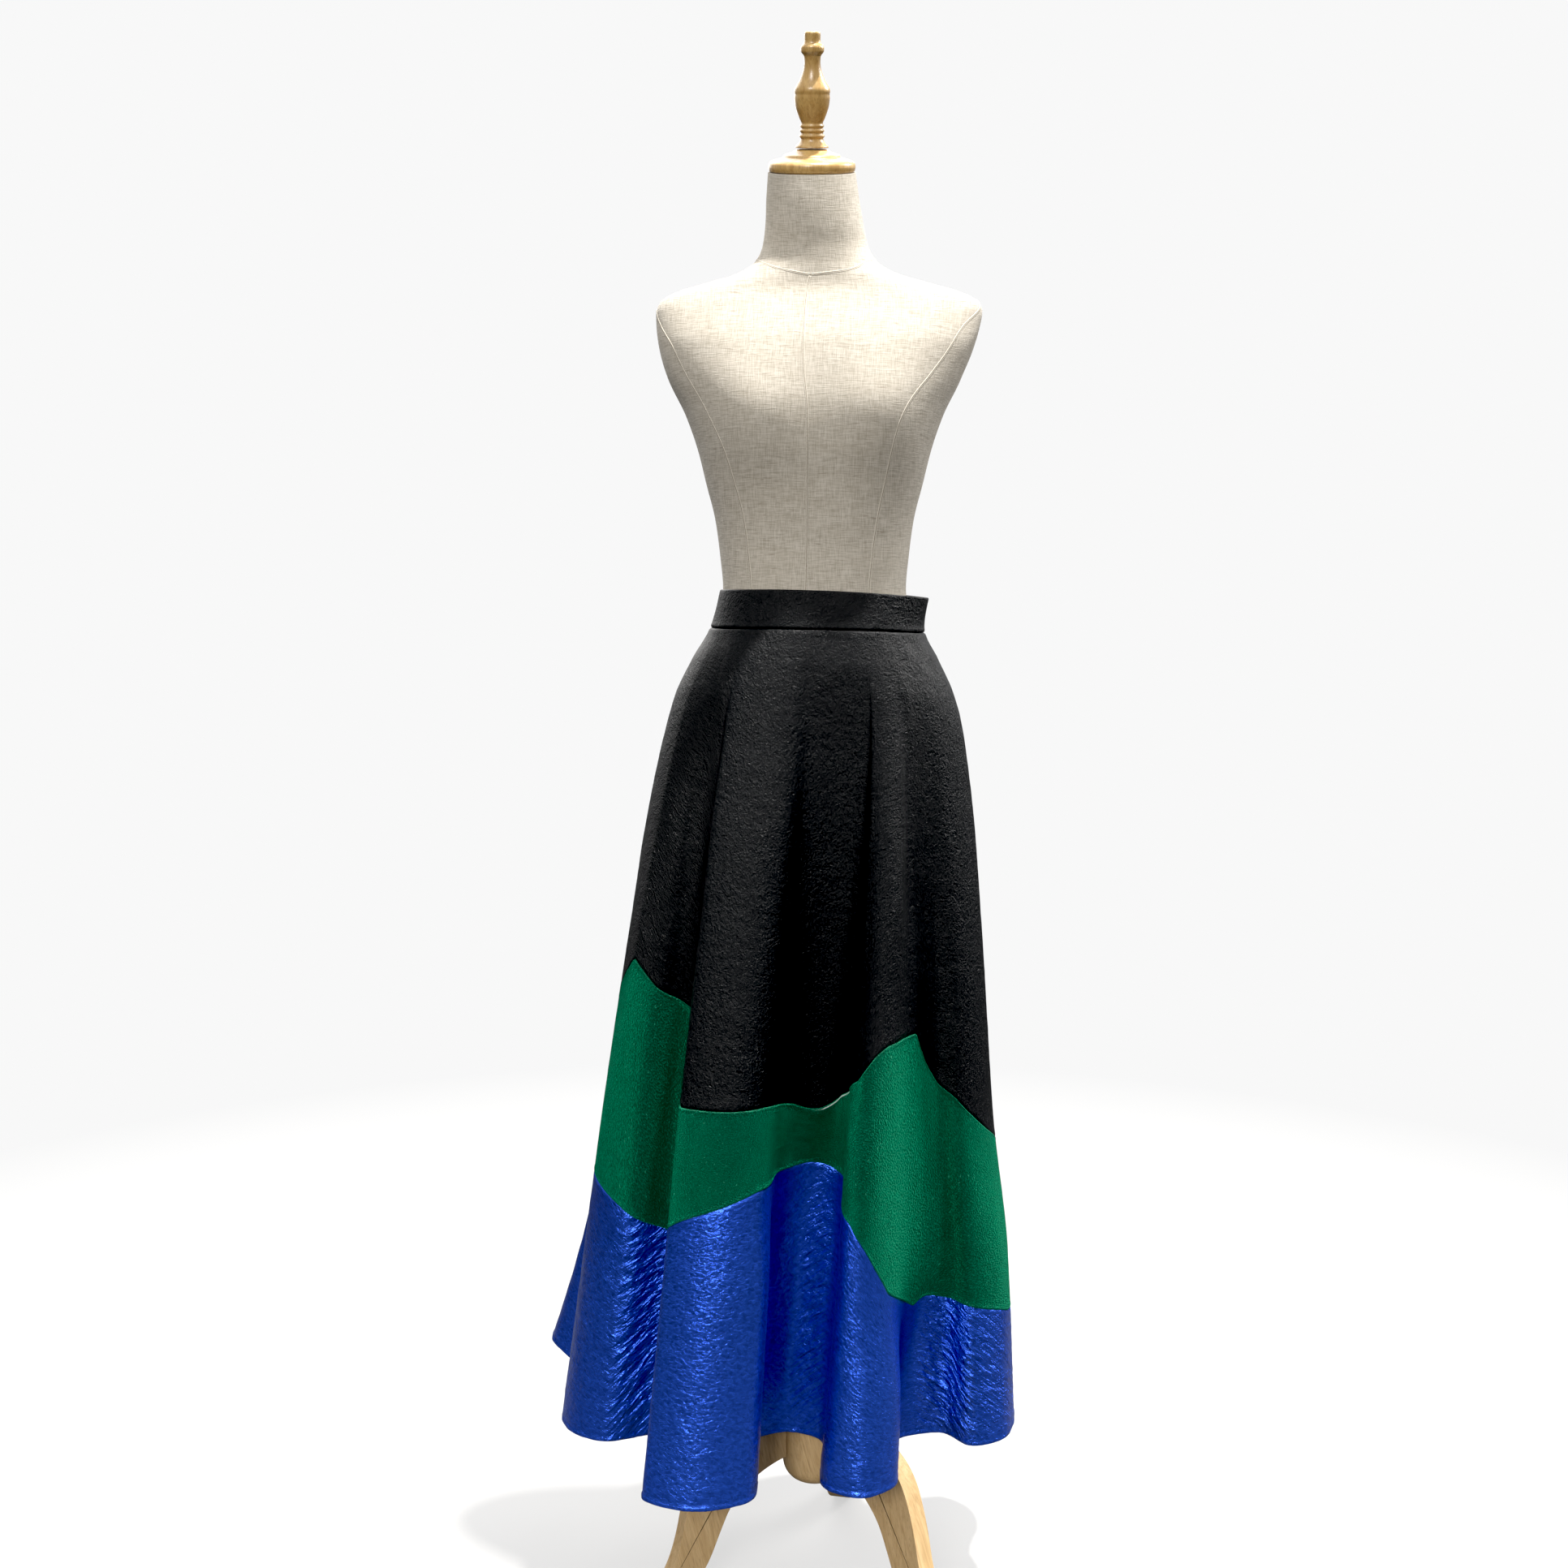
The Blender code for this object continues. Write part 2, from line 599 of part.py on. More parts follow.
def turned(name, profile, stuff, place, tilt=0.0):
    """A solid of revolution from rows of radius and height, top to bottom."""
    outline = bmesh.new()
    points = [outline.verts.new((radius * CM, 0.0, height * CM)) for radius, height in profile]
    for first, second in zip(points, points[1:]):
        outline.edges.new((first, second))
    mesh = bpy.data.meshes.new(name)
    outline.to_mesh(mesh)
    outline.free()
    made = add_object(name, mesh, stuff, smooth=False)
    made.location = place
    made.rotation_euler = (tilt, 0.0, 0.0)
    screw = made.modifiers.new("turned", "SCREW")
    screw.steps = TURN_STEPS
    screw.render_steps = TURN_STEPS
    screw.use_merge_vertices = True
    screw.merge_threshold = MERGE_AXIS
    screw.use_smooth_shade = True
    return made


def build_cap_and_finial():
    """The cap lies on the tilted top of the neck, and the finial stands on the cap along the same axis."""
    depth, _, _, _, _, slope, shift = TORSO[-1]
    tilt = math.atan(slope)
    axis = Vector((0.0, -math.sin(tilt), math.cos(tilt)))
    neck = Vector((shift * CM + AXIS_X, AXIS_Y, WAIST_TOP - depth * CM))
    turned("neck_cap", CAP, "varnished_wood", neck + axis * GAP, tilt)
    turned("finial", FINIAL, "varnished_wood", neck + axis * 2 * GAP, tilt)


def build_pole_and_hub():
    low = WAIST_TOP - HUB_TOP * CM + GAP
    high = WAIST_TOP - TORSO[0][0] * CM - GAP
    pole = bmesh.new()
    bmesh.ops.create_cone(
        pole,
        cap_ends=True,
        segments=POLE_SIDES,
        radius1=POLE_RADIUS,
        radius2=POLE_RADIUS,
        depth=high - low,
        matrix=Matrix.Translation((AXIS_X, AXIS_Y, (low + high) / 2)),
    )
    mesh = bpy.data.meshes.new("pole")
    pole.to_mesh(mesh)
    pole.free()
    add_object("pole", mesh, "pale_wood")
    hub = [(radius, -depth) for radius, depth in HUB]
    turned("hub", hub, "pale_wood", (AXIS_X, AXIS_Y, WAIST_TOP))


def softened(points, rounds):
    """Extra points on the rounded line through a row of points, whose ends stay."""
    for _ in range(rounds - 1):
        cut = [points[0]]
        for (ax, ay), (bx, by) in zip(points, points[1:]):
            cut.append((0.75 * ax + 0.25 * bx, 0.75 * ay + 0.25 * by))
            cut.append((0.25 * ax + 0.75 * bx, 0.25 * ay + 0.75 * by))
        points = cut + [points[-1]]
    return points


def build_legs():
    """Three planks with one swept outline, their roots hollowed to the hub."""
    outline = softened(list(LEG_TOP), LEG_SMOOTH) + list(LEG_TOE) + softened(list(LEG_UNDER), LEG_SMOOTH)
    hub_radius = max(radius for radius, _ in HUB) * CM + GAP
    for name, degrees in LEG_NAMES:
        leg = bmesh.new()
        half = LEG_THICK / 2
        near = [leg.verts.new((0.0, -distance * CM, -depth * CM)) for distance, depth in outline]
        flat = leg.faces.new(near)
        for point in near:
            point.co.x = -half
        grown = bmesh.ops.extrude_face_region(leg, geom=[flat])["geom"]
        for item in grown:
            if isinstance(item, bmesh.types.BMVert):
                item.co.x = half
        bmesh.ops.recalc_face_normals(leg, faces=leg.faces)
        mesh = bpy.data.meshes.new(name)
        leg.to_mesh(mesh)
        leg.free()
        made = add_object(name, mesh, "pale_wood")
        made.location = (AXIS_X, AXIS_Y, WAIST_TOP)
        made.rotation_euler = (0.0, 0.0, math.radians(degrees))
        cut = made.modifiers.new("root", "BOOLEAN")
        cut.operation = "DIFFERENCE"
        cut.solver = "EXACT"
        cut.object = root_cutter(hub_radius)


def root_cutter(radius):
    """A cylinder a gap wider than the hub, which hollows the roots of the legs."""
    found = bpy.data.objects.get("hub_space")
    if found:
        return found
    space = bmesh.new()
    bmesh.ops.create_cone(
        space,
        cap_ends=True,
        segments=TURN_STEPS,
        radius1=radius,
        radius2=radius,
        depth=ROOT_CUT_LONG,
        matrix=Matrix.Translation((AXIS_X, AXIS_Y, WAIST_TOP - ROOT_CUT_DEPTH)),
    )
    mesh = bpy.data.meshes.new("hub_space")
    space.to_mesh(mesh)
    space.free()
    made = bpy.data.objects.new("hub_space", mesh)
    bpy.data.collections["cutters"].objects.link(made)
    made.hide_render = True
    made.display_type = "WIRE"
    return made


def main():
    clear_scene()
    for name in ("flared_skirt", "cutters"):
        group = bpy.data.collections.get(name) or bpy.data.collections.new(name)
        if name not in bpy.context.scene.collection.children:
            bpy.context.scene.collection.children.link(group)
    skirt = Skirt()
    build_waistband(skirt)
    build_panels(skirt)
    build_zip(skirt)
    build_torso()
    build_cap_and_finial()
    build_pole_and_hub()
    build_legs()


main()
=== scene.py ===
"""A flared, colour-blocked skirt on a linen dress form with a turned wooden finial and a wooden tripod."""

import math

import bmesh
import bpy
import numpy as np
from mathutils import Matrix, Vector


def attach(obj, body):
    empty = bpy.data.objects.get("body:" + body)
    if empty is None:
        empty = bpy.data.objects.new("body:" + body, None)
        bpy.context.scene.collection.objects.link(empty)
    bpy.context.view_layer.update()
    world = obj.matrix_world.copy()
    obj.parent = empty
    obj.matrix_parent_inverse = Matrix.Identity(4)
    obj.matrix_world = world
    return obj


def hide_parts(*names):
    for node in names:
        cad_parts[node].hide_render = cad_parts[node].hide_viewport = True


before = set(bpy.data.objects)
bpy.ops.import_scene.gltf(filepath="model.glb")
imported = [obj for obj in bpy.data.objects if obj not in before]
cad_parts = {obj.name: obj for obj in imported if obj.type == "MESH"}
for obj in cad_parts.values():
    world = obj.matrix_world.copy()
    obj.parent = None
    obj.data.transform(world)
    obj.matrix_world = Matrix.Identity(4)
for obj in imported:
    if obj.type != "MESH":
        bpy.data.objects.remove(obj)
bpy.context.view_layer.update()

CM = 0.01
MM = 0.001
GAP = 0.0003
WAIST_TOP = 1.14
AXIS_X = 0.0401
AXIS_Y = -0.0004

# Cloth, with depths and plan sizes in cm as in the part's source. The band's thickness is in mm, the slit's width in
# places, its angle and the sag's reach in degrees, and the columns' step in metres.
BAND_DEEP = 4.3
BAND_DROP_TOP = 1.0
BAND_DROP_SEAM = 0.6
BAND_SEAM_GAP = 0.02
BAND_ROW_STEP = 0.4
BAND_THICK = 2.3
SLIT_AT = 86.0
SLIT_WIDTH = 0.16
SAG_REACH = 110.0
HEM_DEPTH = 94.3
ROUNDNESS = 2.3
GROWN_MOST = 1.05
COLUMN_STEP = 0.0046
SIDE_SEAMS = ("hollow_right", "hollow_left")

# The skirt with no flutes: half widths to the wearer's right and left, and to the front and back, in cm.
OUTLINE = (
    # depth, right, left, front, back
    (0, 10.8, 13.35, 8.6, 8.4), (4.4, 12, 12.6, 9.3, 9.2),
    (8, 14.1, 14.2, 9.95, 10.6), (12, 16, 16, 10.5, 11.9),
    (16, 17.15, 17, 11, 12.6), (21, 18.3, 17.7, 11.7, 13.2),
    (30, 20, 18.7, 12.8, 14), (45, 22.45, 19.9, 14.2, 15.4),
    (60, 24.5, 20.9, 15.3, 16.6), (75, 26.2, 22.6, 16.2, 17.6),
    (94.3, 28.6, 23.4, 17, 18.6),
)

# Each flute and each hollow between two flutes, as in the part's source. The last six values are the depths of the
# two seams at its first shoulder, its middle and its second shoulder, from these columns on.
UPPER_COLUMN = 11
LOWER_COLUMN = 14
FLUTES = (
    # name, x, out, facing, half, back, hip, spread, begins, bend, lift, black to green x 3, green to blue x 3
    ("flute_back_right", -31.9, -13.8, -112, 3.2, 1.3, -118, 9, 54, 1.45, 3.3, 52, 55, 55.5, 67.5, 64.5, 63.5),
    ("hollow_right", -26.2, -4.2, -92, 1.9, -0.3, -96, 5, 30, 1, 0.6, 54, 52, 49, 63.5, 63.8, 64.6),
    ("flute_right", -27.3, 6.2, -50, 4.2, 1.5, -61, 13, 12, 1, 0.3, 44.8, 41.2, 43.8, 65.6, 66.7, 68.8),
    ("hollow_front_right", -14.8, 6.7, -22, 2.6, -0.5, -41, 4, 12, 0.95, 0, 45.4, 46.5, 50, 71, 72.2, 70.5),
    ("flute_front_right", -12.8, 22.5, -3, 5.3, 1.9, -16.5, 13, 4.4, 0.95, 0, 54.9, 54.9, 54.9, 66.8, 64.6, 63.2),
    ("hollow_centre", -3.1, 5.6, 0, 2.9, -1.1, 9, 9, 8.4, 1.12, 0, 56.2, 57.1, 55.4, 63.4, 63, 63.8),
    ("flute_front_left", 4.6, 19.9, 4, 3.2, 1.6, 26, 4.5, 8.4, 1, 0, 52.4, 49.9, 49, 67, 70.8, 74.6),
    ("hollow_front_left", 11.6, 6.1, 15, 2.5, -0.4, 40, 5, 12, 1, 0, 48.8, 52.2, 54.6, 78.9, 78.2, 78.5),
    ("flute_left", 20.9, 7.2, 45, 3.9, 1.6, 62, 10, 14, 1, 0, 56.6, 59.6, 61.6, 78.9, 79.9, 81.2),
    ("hollow_left", 22.2, -3.4, 92, 2.2, -0.4, 84, 5, 25, 1, 0.3, 63, 64.2, 65.2, 81.6, 81.9, 82),
    ("flute_back_left", 23.2, -13.6, 118, 4.4, 1.8, 108, 10, 18, 1, 0.4, 66, 65, 60.5, 81.6, 79.2, 77),
    ("hollow_back_left", 12.6, -12, 150, 2.3, -0.4, 131, 6, 12, 1, 0, 54, 47.4, 50, 77.2, 78.4, 76),
    ("flute_back_middle", 4.8, -22.6, 172, 4.2, 1.8, 152, 9, 9, 1, 0.3, 53.6, 56.4, 57.6, 70.5, 66, 63.8),
    ("hollow_back_middle", -2.8, -12.2, 183, 2.2, -0.6, 172, 5, 9, 1, 0, 57.8, 56.8, 55.2, 63.4, 63.8, 65),
    ("flute_back", -11.6, -22, 196, 4.1, 1.7, 193, 9, 12, 1, 0.3, 52.4, 49.8, 47.4, 68, 71.6, 74.6),
    ("hollow_back_right", -19.6, -11.8, 222, 2.3, -0.3, 214, 6, 20, 1, 0.6, 45.6, 43.6, 48, 76.2, 77.4, 72.5),
)

# Where the zigzag turns sharply: -1 is the first shoulder and 0 the middle.
UPPER_CORNERS = (
    ("flute_right", 0), ("hollow_front_left", -1), ("hollow_back_left", 0), ("hollow_back_right", 0),
)
LOWER_CORNERS = (
    ("hollow_front_right", 0), ("hollow_front_left", -1), ("hollow_back_left", 0), ("hollow_back_right", 0),
)

# Creases in the cloth. Each runs from one place and depth to another, bows sideways by "bow" places, and is a ridge
# (or a trough, if its height is negative) with its own width on the side of lower and of higher places, in mm.
CREASES = {
    # place, depth, place, depth, bow, before, after, height
    "black_front": (
        (8.9, 4.6, 11.9, 17, 0.35, 7, 42, 1.5), (11.9, 15, 12.25, 44, 0, 6, 30, 1),
        (18.9, 10, 19.3, 47, 0, 22, 16, 0.9), (14.8, 11, 16.2, 8, 0.1, 7, 7, 0.5),
        (16.2, 8, 18.1, 12.5, 0.2, 7, 8, 0.5), (12.4, 4.6, 12.6, 10.4, 0, 4, 5, 0.4),
        (13.2, 4.6, 13.3, 13.2, 0, 5, 6, -0.5), (14, 4.6, 14.1, 9, 0, 4, 5, 0.4),
        (11.2, 4.8, 12, 9, 0, 4, 4, -0.4), (15.4, 4.7, 15.3, 7.6, 0, 4, 4, 0.3),
        (22.4, 5.2, 23.6, 8.8, 0.2, 6, 7, 0.6), (23.2, 5, 25.2, 9.8, 0.3, 7, 8, -0.7),
        (24.6, 5.2, 26.2, 11.5, 0.3, 8, 9, 0.8), (22, 9.4, 24.4, 12.8, 0.2, 6, 6, 0.5),
        (23, 13.2, 25.4, 16.4, 0.1, 7, 7, -0.5), (12.6, 19.2, 14.4, 20.4, 0, 5, 5, 0.35),
        (12.4, 26.5, 14.2, 25.2, 0, 5, 6, 0.35), (12.6, 33, 14, 34.4, 0, 5, 5, 0.3),
        (12.7, 44.8, 14.4, 47.4, 0.1, 6, 6, 0.5), (12.9, 49.6, 14.2, 47.2, 0, 5, 6, -0.4),
        (16.4, 50.5, 18.2, 47, 0.1, 6, 7, 0.7), (17, 53, 18.6, 49.6, 0, 5, 6, -0.5),
        (20.4, 41, 22.6, 44.6, 0.1, 7, 7, 0.5), (21.6, 49.2, 23.4, 52.4, 0, 6, 6, 0.6),
        (7, 20, 8.4, 34, 0.2, 12, 14, 0.9), (6.2, 33, 7.6, 41, 0, 7, 8, 0.6),
        (9.6, 12, 8.6, 30, 0.2, 9, 12, -0.8),
    ),
    "black_back": (
        (32.6, 4.6, 32, 16, -0.2, 12, 16, 0.9), (36, 4.6, 36.4, 15, 0.2, 8, 30, 1.1),
        (41.8, 4.6, 41.4, 19, 0, 14, 12, -0.8), (38.4, 8.5, 38.9, 44, 0, 12, 20, 1),
        (34, 5, 34.1, 10.5, 0, 5, 5, 0.4), (39.6, 4.8, 39.5, 9.2, 0, 5, 6, -0.4),
        (30.4, 18, 31.6, 30.5, 0.2, 9, 12, 0.7), (43.2, 20, 42.4, 38, 0.2, 10, 12, -0.7),
        (36.8, 24, 38.2, 26, 0, 6, 6, 0.4), (35.2, 39, 36.6, 41.8, 0.1, 6, 7, 0.5),
        (41, 44, 42.6, 40.5, 0, 6, 6, -0.5), (29.2, 9, 30.6, 12.5, 0.1, 6, 7, 0.6),
        (46.6, 10, 45.2, 14.4, 0.2, 7, 8, 0.6),
    ),
    "green_front": (
        (8.6, 44, 8.9, 70, 0.15, 12, 9, -1.3), (7.1, 43, 6.4, 64, 0.1, 16, 14, 0.8),
        (11.9, 52, 12.05, 69, 0, 5, 22, 1.1), (15.3, 57.5, 15.1, 63, 0, 8, 10, -0.9),
        (16.2, 57.4, 16.4, 63.5, 0, 7, 8, 0.7), (17.7, 56, 17.9, 66, 0.1, 8, 9, 0.8),
        (21, 50.5, 21.8, 77, 0.2, 12, 14, -1.2), (19.2, 51, 19.4, 72, 0, 12, 12, 0.7),
        (23.4, 58, 23.6, 78, 0.1, 18, 16, 0.7), (25.6, 66, 25.3, 80, 0.1, 10, 12, -0.7),
    ),
    "green_back": (
        (33.4, 50, 33.2, 76, 0.2, 12, 14, -1), (36.2, 58, 36.6, 64.5, 0, 14, 16, 0.8),
        (40.2, 58, 40, 63, 0, 9, 8, -0.8), (43, 50, 42.7, 71, 0.2, 16, 14, 0.9),
        (30.6, 67, 30.9, 79, 0.1, 12, 12, 0.7), (45.6, 47, 45.2, 73, 0.1, 10, 12, -0.8),
    ),
    "blue_front": (
        (8.3, 69, 10.6, 69.9, 0, 4, 4, 0.7), (8.2, 72, 11.2, 70.6, 0.1, 3, 4, 0.7),
        (7.9, 75, 11.2, 72.4, 0.1, 4, 3, 0.8), (7.9, 77.2, 10.9, 75, 0, 3, 4, -0.8),
        (7.7, 80.2, 10.8, 77, 0.1, 4, 5, 0.9), (8, 82.4, 10.6, 79.6, 0, 3, 4, 0.7),
        (7.8, 85.4, 10.8, 82, 0.1, 4, 4, -0.7), (7.6, 88.4, 10.6, 84.8, 0.1, 4, 5, 0.8),
        (8.2, 90.6, 10.2, 87.6, 0, 3, 4, 0.6), (22.2, 80.4, 24, 82.4, 0, 4, 4, 0.7),
        (22, 82.6, 24.2, 85.4, 0, 3, 4, 0.7), (22.2, 84.8, 23.9, 87.6, 0.1, 4, 4, -0.7),
        (22.1, 87.2, 23.8, 90, 0, 3, 4, 0.7), (22.3, 90.2, 23.4, 92.8, 0, 4, 4, 0.6),
        (24.6, 83.4, 25.9, 86.6, 0.1, 5, 5, 0.6), (15.9, 69, 16.6, 73, 0.1, 5, 6, 0.8),
        (16.9, 74, 16.3, 79.4, -0.1, 5, 5, 0.8), (15.7, 76, 16.4, 82.4, 0.1, 6, 5, -0.7),
        (16.8, 82, 16, 87, 0, 5, 6, 0.8), (15.6, 86, 16.6, 91, 0.1, 5, 5, 0.7),
        (12.3, 68.4, 13.6, 67.6, 0, 4, 4, 0.35), (12.5, 76.6, 13.6, 75.4, 0, 4, 4, 0.4),
        (12.4, 84, 13.4, 82, 0, 4, 4, -0.35), (12.6, 90, 13.5, 88.6, 0, 5, 4, 0.4),
        (18.1, 74, 18.9, 76.2, 0, 4, 4, 0.5), (18, 79, 18.8, 81.6, 0, 4, 4, -0.4),
        (18.1, 84.6, 18.9, 87, 0, 4, 4, 0.5), (6.4, 70, 6.8, 92, 0.1, 12, 14, 0.8),
        (19.9, 78, 20.3, 92, 0, 8, 9, 0.8),
    ),
    "blue_back": (
        (33.2, 80, 34.8, 77.4, 0.1, 4, 4, 0.7), (33, 84.6, 34.9, 81.2, 0, 4, 5, 0.8),
        (33.4, 88, 34.6, 85.2, 0.1, 4, 4, -0.7), (38.8, 68, 39.9, 71.6, 0.1, 5, 5, 0.8),
        (39.6, 74, 38.9, 80, 0, 5, 6, -0.7), (40.4, 79, 39.6, 86, 0, 5, 5, 0.8),
        (36.4, 69, 37.4, 67.8, 0, 5, 4, 0.5), (36.2, 78, 37.2, 76, 0, 5, 5, 0.5),
        (42.2, 76.4, 43.4, 79.4, 0, 4, 5, 0.6), (42, 82, 43.2, 85.4, 0.1, 4, 4, 0.7),
        (45.2, 79, 46.6, 76.4, 0, 4, 5, 0.7), (45, 86, 46.4, 82.4, 0.1, 5, 5, -0.6),
        (30.2, 83, 31.4, 86, 0, 5, 5, 0.7), (1, 70, 1.8, 76, 0.1, 6, 6, 0.8), (0.9, 80, 1.9, 85, 0, 5, 6, 0.7),
    ),
}

# The form: half width, front and back in cm, how square its section is, how far its rim tilts, and its shift.
TORSO = (
    # depth, half width, front, back, power, tilt, shift
    (27, 14.2, 6.9, 8.6, 2.3, 0, 0), (26.4, 14.8, 7.4, 9.2, 2.3, 0, 0),
    (24, 15.7, 8.3, 10.4, 2.3, 0, 0), (20, 16.3, 8.9, 11.4, 2.3, 0, 0),
    (16, 16.3, 9.4, 11.6, 2.3, 0, 0), (12, 15.4, 9.5, 11.1, 2.3, 0, 0),
    (8, 13.6, 9.2, 9.9, 2.3, 0, 0), (4.4, 11.65, 8.6, 8.5, 2.3, 0, 0),
    (0, 10.5, 8.05, 7.7, 2.3, 0, 0), (-4, 10.85, 8.2, 7.6, 2.3, 0, 0),
    (-8, 11.4, 8.7, 7.8, 2.35, 0, 0), (-12, 12.4, 9.3, 8.2, 2.4, 0, 0),
    (-16, 13.4, 9.9, 8.6, 2.45, 0, 0), (-20, 14.8, 10, 8.9, 2.5, 0, 0),
    (-24, 16.75, 9.6, 9.1, 2.6, 0, 0), (-27.5, 18, 8.8, 9, 2.6, 0, 0.2),
    (-30, 18.55, 7.6, 8.6, 2.5, 0, 0.4), (-31.8, 18.75, 6.5, 8.1, 2.4, 0, 0.55),
    (-33, 18.3, 5.8, 7.6, 2.3, 0, 0.6), (-34, 16.6, 5.3, 7.2, 2.2, 0, 0.5),
    (-35, 13.2, 5.1, 6.9, 2.1, 0, 0.4), (-36.2, 9.3, 5, 6.6, 2, 0.03, 0.3),
    (-37.6, 7.1, 4.9, 6.3, 2, 0.1, 0.2), (-39.4, 6.1, 4.9, 6, 2, 0.16, 0.1),
    (-42, 5.65, 5.1, 5.5, 2, 0.22, 0), (-45, 5.35, 5.2, 5.2, 2, 0.27, -0.2),
    (-48, 5.05, 5.1, 5.1, 2, 0.3, -0.3),
)
BUST_DEPTH = -19.3
BUST_SIDE = 7.3
BUST_OUT = 2.1
BUST_WIDE = 3.9
BUST_TALL = 4.6
TORSO_COLUMNS = 160
TORSO_ROW_STEP = 0.55
TORSO_SHARP = math.radians(60)

# Seams on the form, each as points of turn in degrees from the front and depth in cm
FORM_SEAMS = (
    # name, closed, points
    ("centre_front", False, ((-4, -35.2), (-2.5, -28), (-2, -20), (-3, -10), (-4.5, 1.5))),
    ("centre_back", False, ((180, -37.4), (180, -28), (180, -16), (180, 1.5))),
    ("front_right", False, ((-84, -32), (-61, -27), (-55, -23.1), (-52, -19.8), (-45, -14), (-41.5, -8), (-40, 1.5))),
    ("front_left", False, ((84, -33), (58, -29.4), (49, -25.5), (39, -21), (35.5, -17.7), (34, -9.6), (31, 1.5))),
    ("back_right", False, ((-96, -32.0), (-118, -26), (-128, -18), (-134, -8), (-136, 1.5))),
    ("back_left", False, ((96, -32.0), (118, -26), (128, -18), (134, -8), (136, 1.5))),
    ("side_right", False, ((-92, -24.5), (-92, -16), (-92, -8), (-92, 1.5))),
    ("side_left", False, ((92, -24.5), (92, -16), (92, -8), (92, 1.5))),
    ("neck", True, ((-4, -35.35), (22, -36.1), (50, -37.4), (86, -38.0), (130, -38.2), (180, -38.2), (230, -38.2),
                    (274, -37.9), (308, -37.2), (331, -36.3))),
)

CAP = (
    # radius, height
    (0, 2.6), (1.7, 2.6), (2.3, 2.2), (3.2, 1.95), (3.4, 1.6), (4.5, 1.35), (4.95, 1.05), (5.05, 0.5),
    (4.9, 0.05), (4.6, 0), (0, 0),
)
FINIAL = (
    # radius, height
    (0, 15.4), (0.8, 15.4), (0.92, 15.2), (0.9, 14.2), (1.32, 13.8), (1.34, 13.2), (0.96, 12.8), (0.9, 12),
    (1.02, 11.2), (1.4, 10.2), (1.98, 9.3), (2.06, 8.9), (1.98, 8.6), (2.04, 8.2), (1.92, 7.2), (1.5, 6),
    (1.2, 5.4), (1.42, 5.1), (1.2, 4.85), (1.45, 4.6), (1.22, 4.3), (1.5, 4), (1.25, 3.7), (1.45, 3.3),
    (1.85, 2.9), (1.95, 2.65), (0, 2.65),
)
HUB = (
    # radius, depth
    (0, 86), (3, 86), (3.6, 86.5), (3.8, 87.4), (3.8, 99), (3.5, 100.8), (2.6, 101.8), (0, 102.1),
)
TURNED_STEPS = 64
# How many times a line's corners are cut off, and the share of each step
TURNED_ROUNDED = (2, 0.2)
LEG_ROUNDED = (4, 0.25)
LEG_THICK = 0.024
LEG_ARRIS = 0.0028
LEG_WELD = 0.0002
LEG_SHARP = math.radians(50)
LEG_NAMES = (("leg_right", -72.0), ("leg_left", 48.0), ("leg_back", 168.0))
LEG_TOP = (
    (2.6, 89), (6.6, 90.6), (10.2, 95), (13.6, 97.4), (15.3, 102.2), (16.3, 107.6), (17.9, 111.4), (20.9, 113),
)
LEG_TOE = ((21.6, 113.4), (21.7, 114.0))
LEG_UNDER = (
    (19.2, 114), (17, 113.3), (14.6, 111.6), (12.9, 109.2), (11.6, 106), (10.2, 102.9), (7.4, 100.3),
    (4.6, 98.9), (2.6, 98.5),
)


# Curves and the cloth's shape
def slopes(knots, values, corners=()):
    """The slopes after and before each knot, the same but at a corner, and level where the values turn."""
    steps = np.diff(knots)
    secants = np.diff(values) / steps
    before = np.concatenate([secants[:1], secants])
    after = np.concatenate([secants, secants[-1:]])
    for i in range(1, len(values) - 1):
        if i in corners:
            continue
        left, right = secants[i - 1], secants[i]
        shared = 0.0
        if left * right > 0:
            near, far = 2 * steps[i] + steps[i - 1], steps[i] + 2 * steps[i - 1]
            shared = (near + far) / (near / left + far / right)
        before[i] = after[i] = shared
    return after, before


def hermite(t, width, start, end, leaving, arriving):
    """The cubic from start to end with the given slopes at its two ends."""
    first = (1 + 2 * t) * (1 - t) ** 2 * start + t * (1 - t) ** 2 * width * leaving
    return first + t**2 * (3 - 2 * t) * end + t**2 * (t - 1) * width * arriving


def curve_at(knots, values, places, corners=()):
    """A shape-keeping curve through the values, read at the places."""
    after, before = slopes(knots, values, corners)
    cell = np.clip(np.searchsorted(knots, places, side="right") - 1, 0, len(knots) - 2)
    width = knots[cell + 1] - knots[cell]
    t = (places - knots[cell]) / width
    return hermite(t, width, values[cell], values[cell + 1], after[cell], before[cell + 1])


def table_column(table, column):
    return np.array([row[column] for row in table], float)


def signed_power(values, power):
    return np.sign(values) * np.abs(values) ** power


def section(turns, right, left, front, back, power):
    """Across, out and the share forward on a section, for turns in radians from the front."""
    across = signed_power(np.sin(turns), 2 / power)
    forward = signed_power(np.cos(turns), 2 / power)
    return np.where(across < 0, right, left) * across, np.where(forward > 0, front, back) * forward, forward


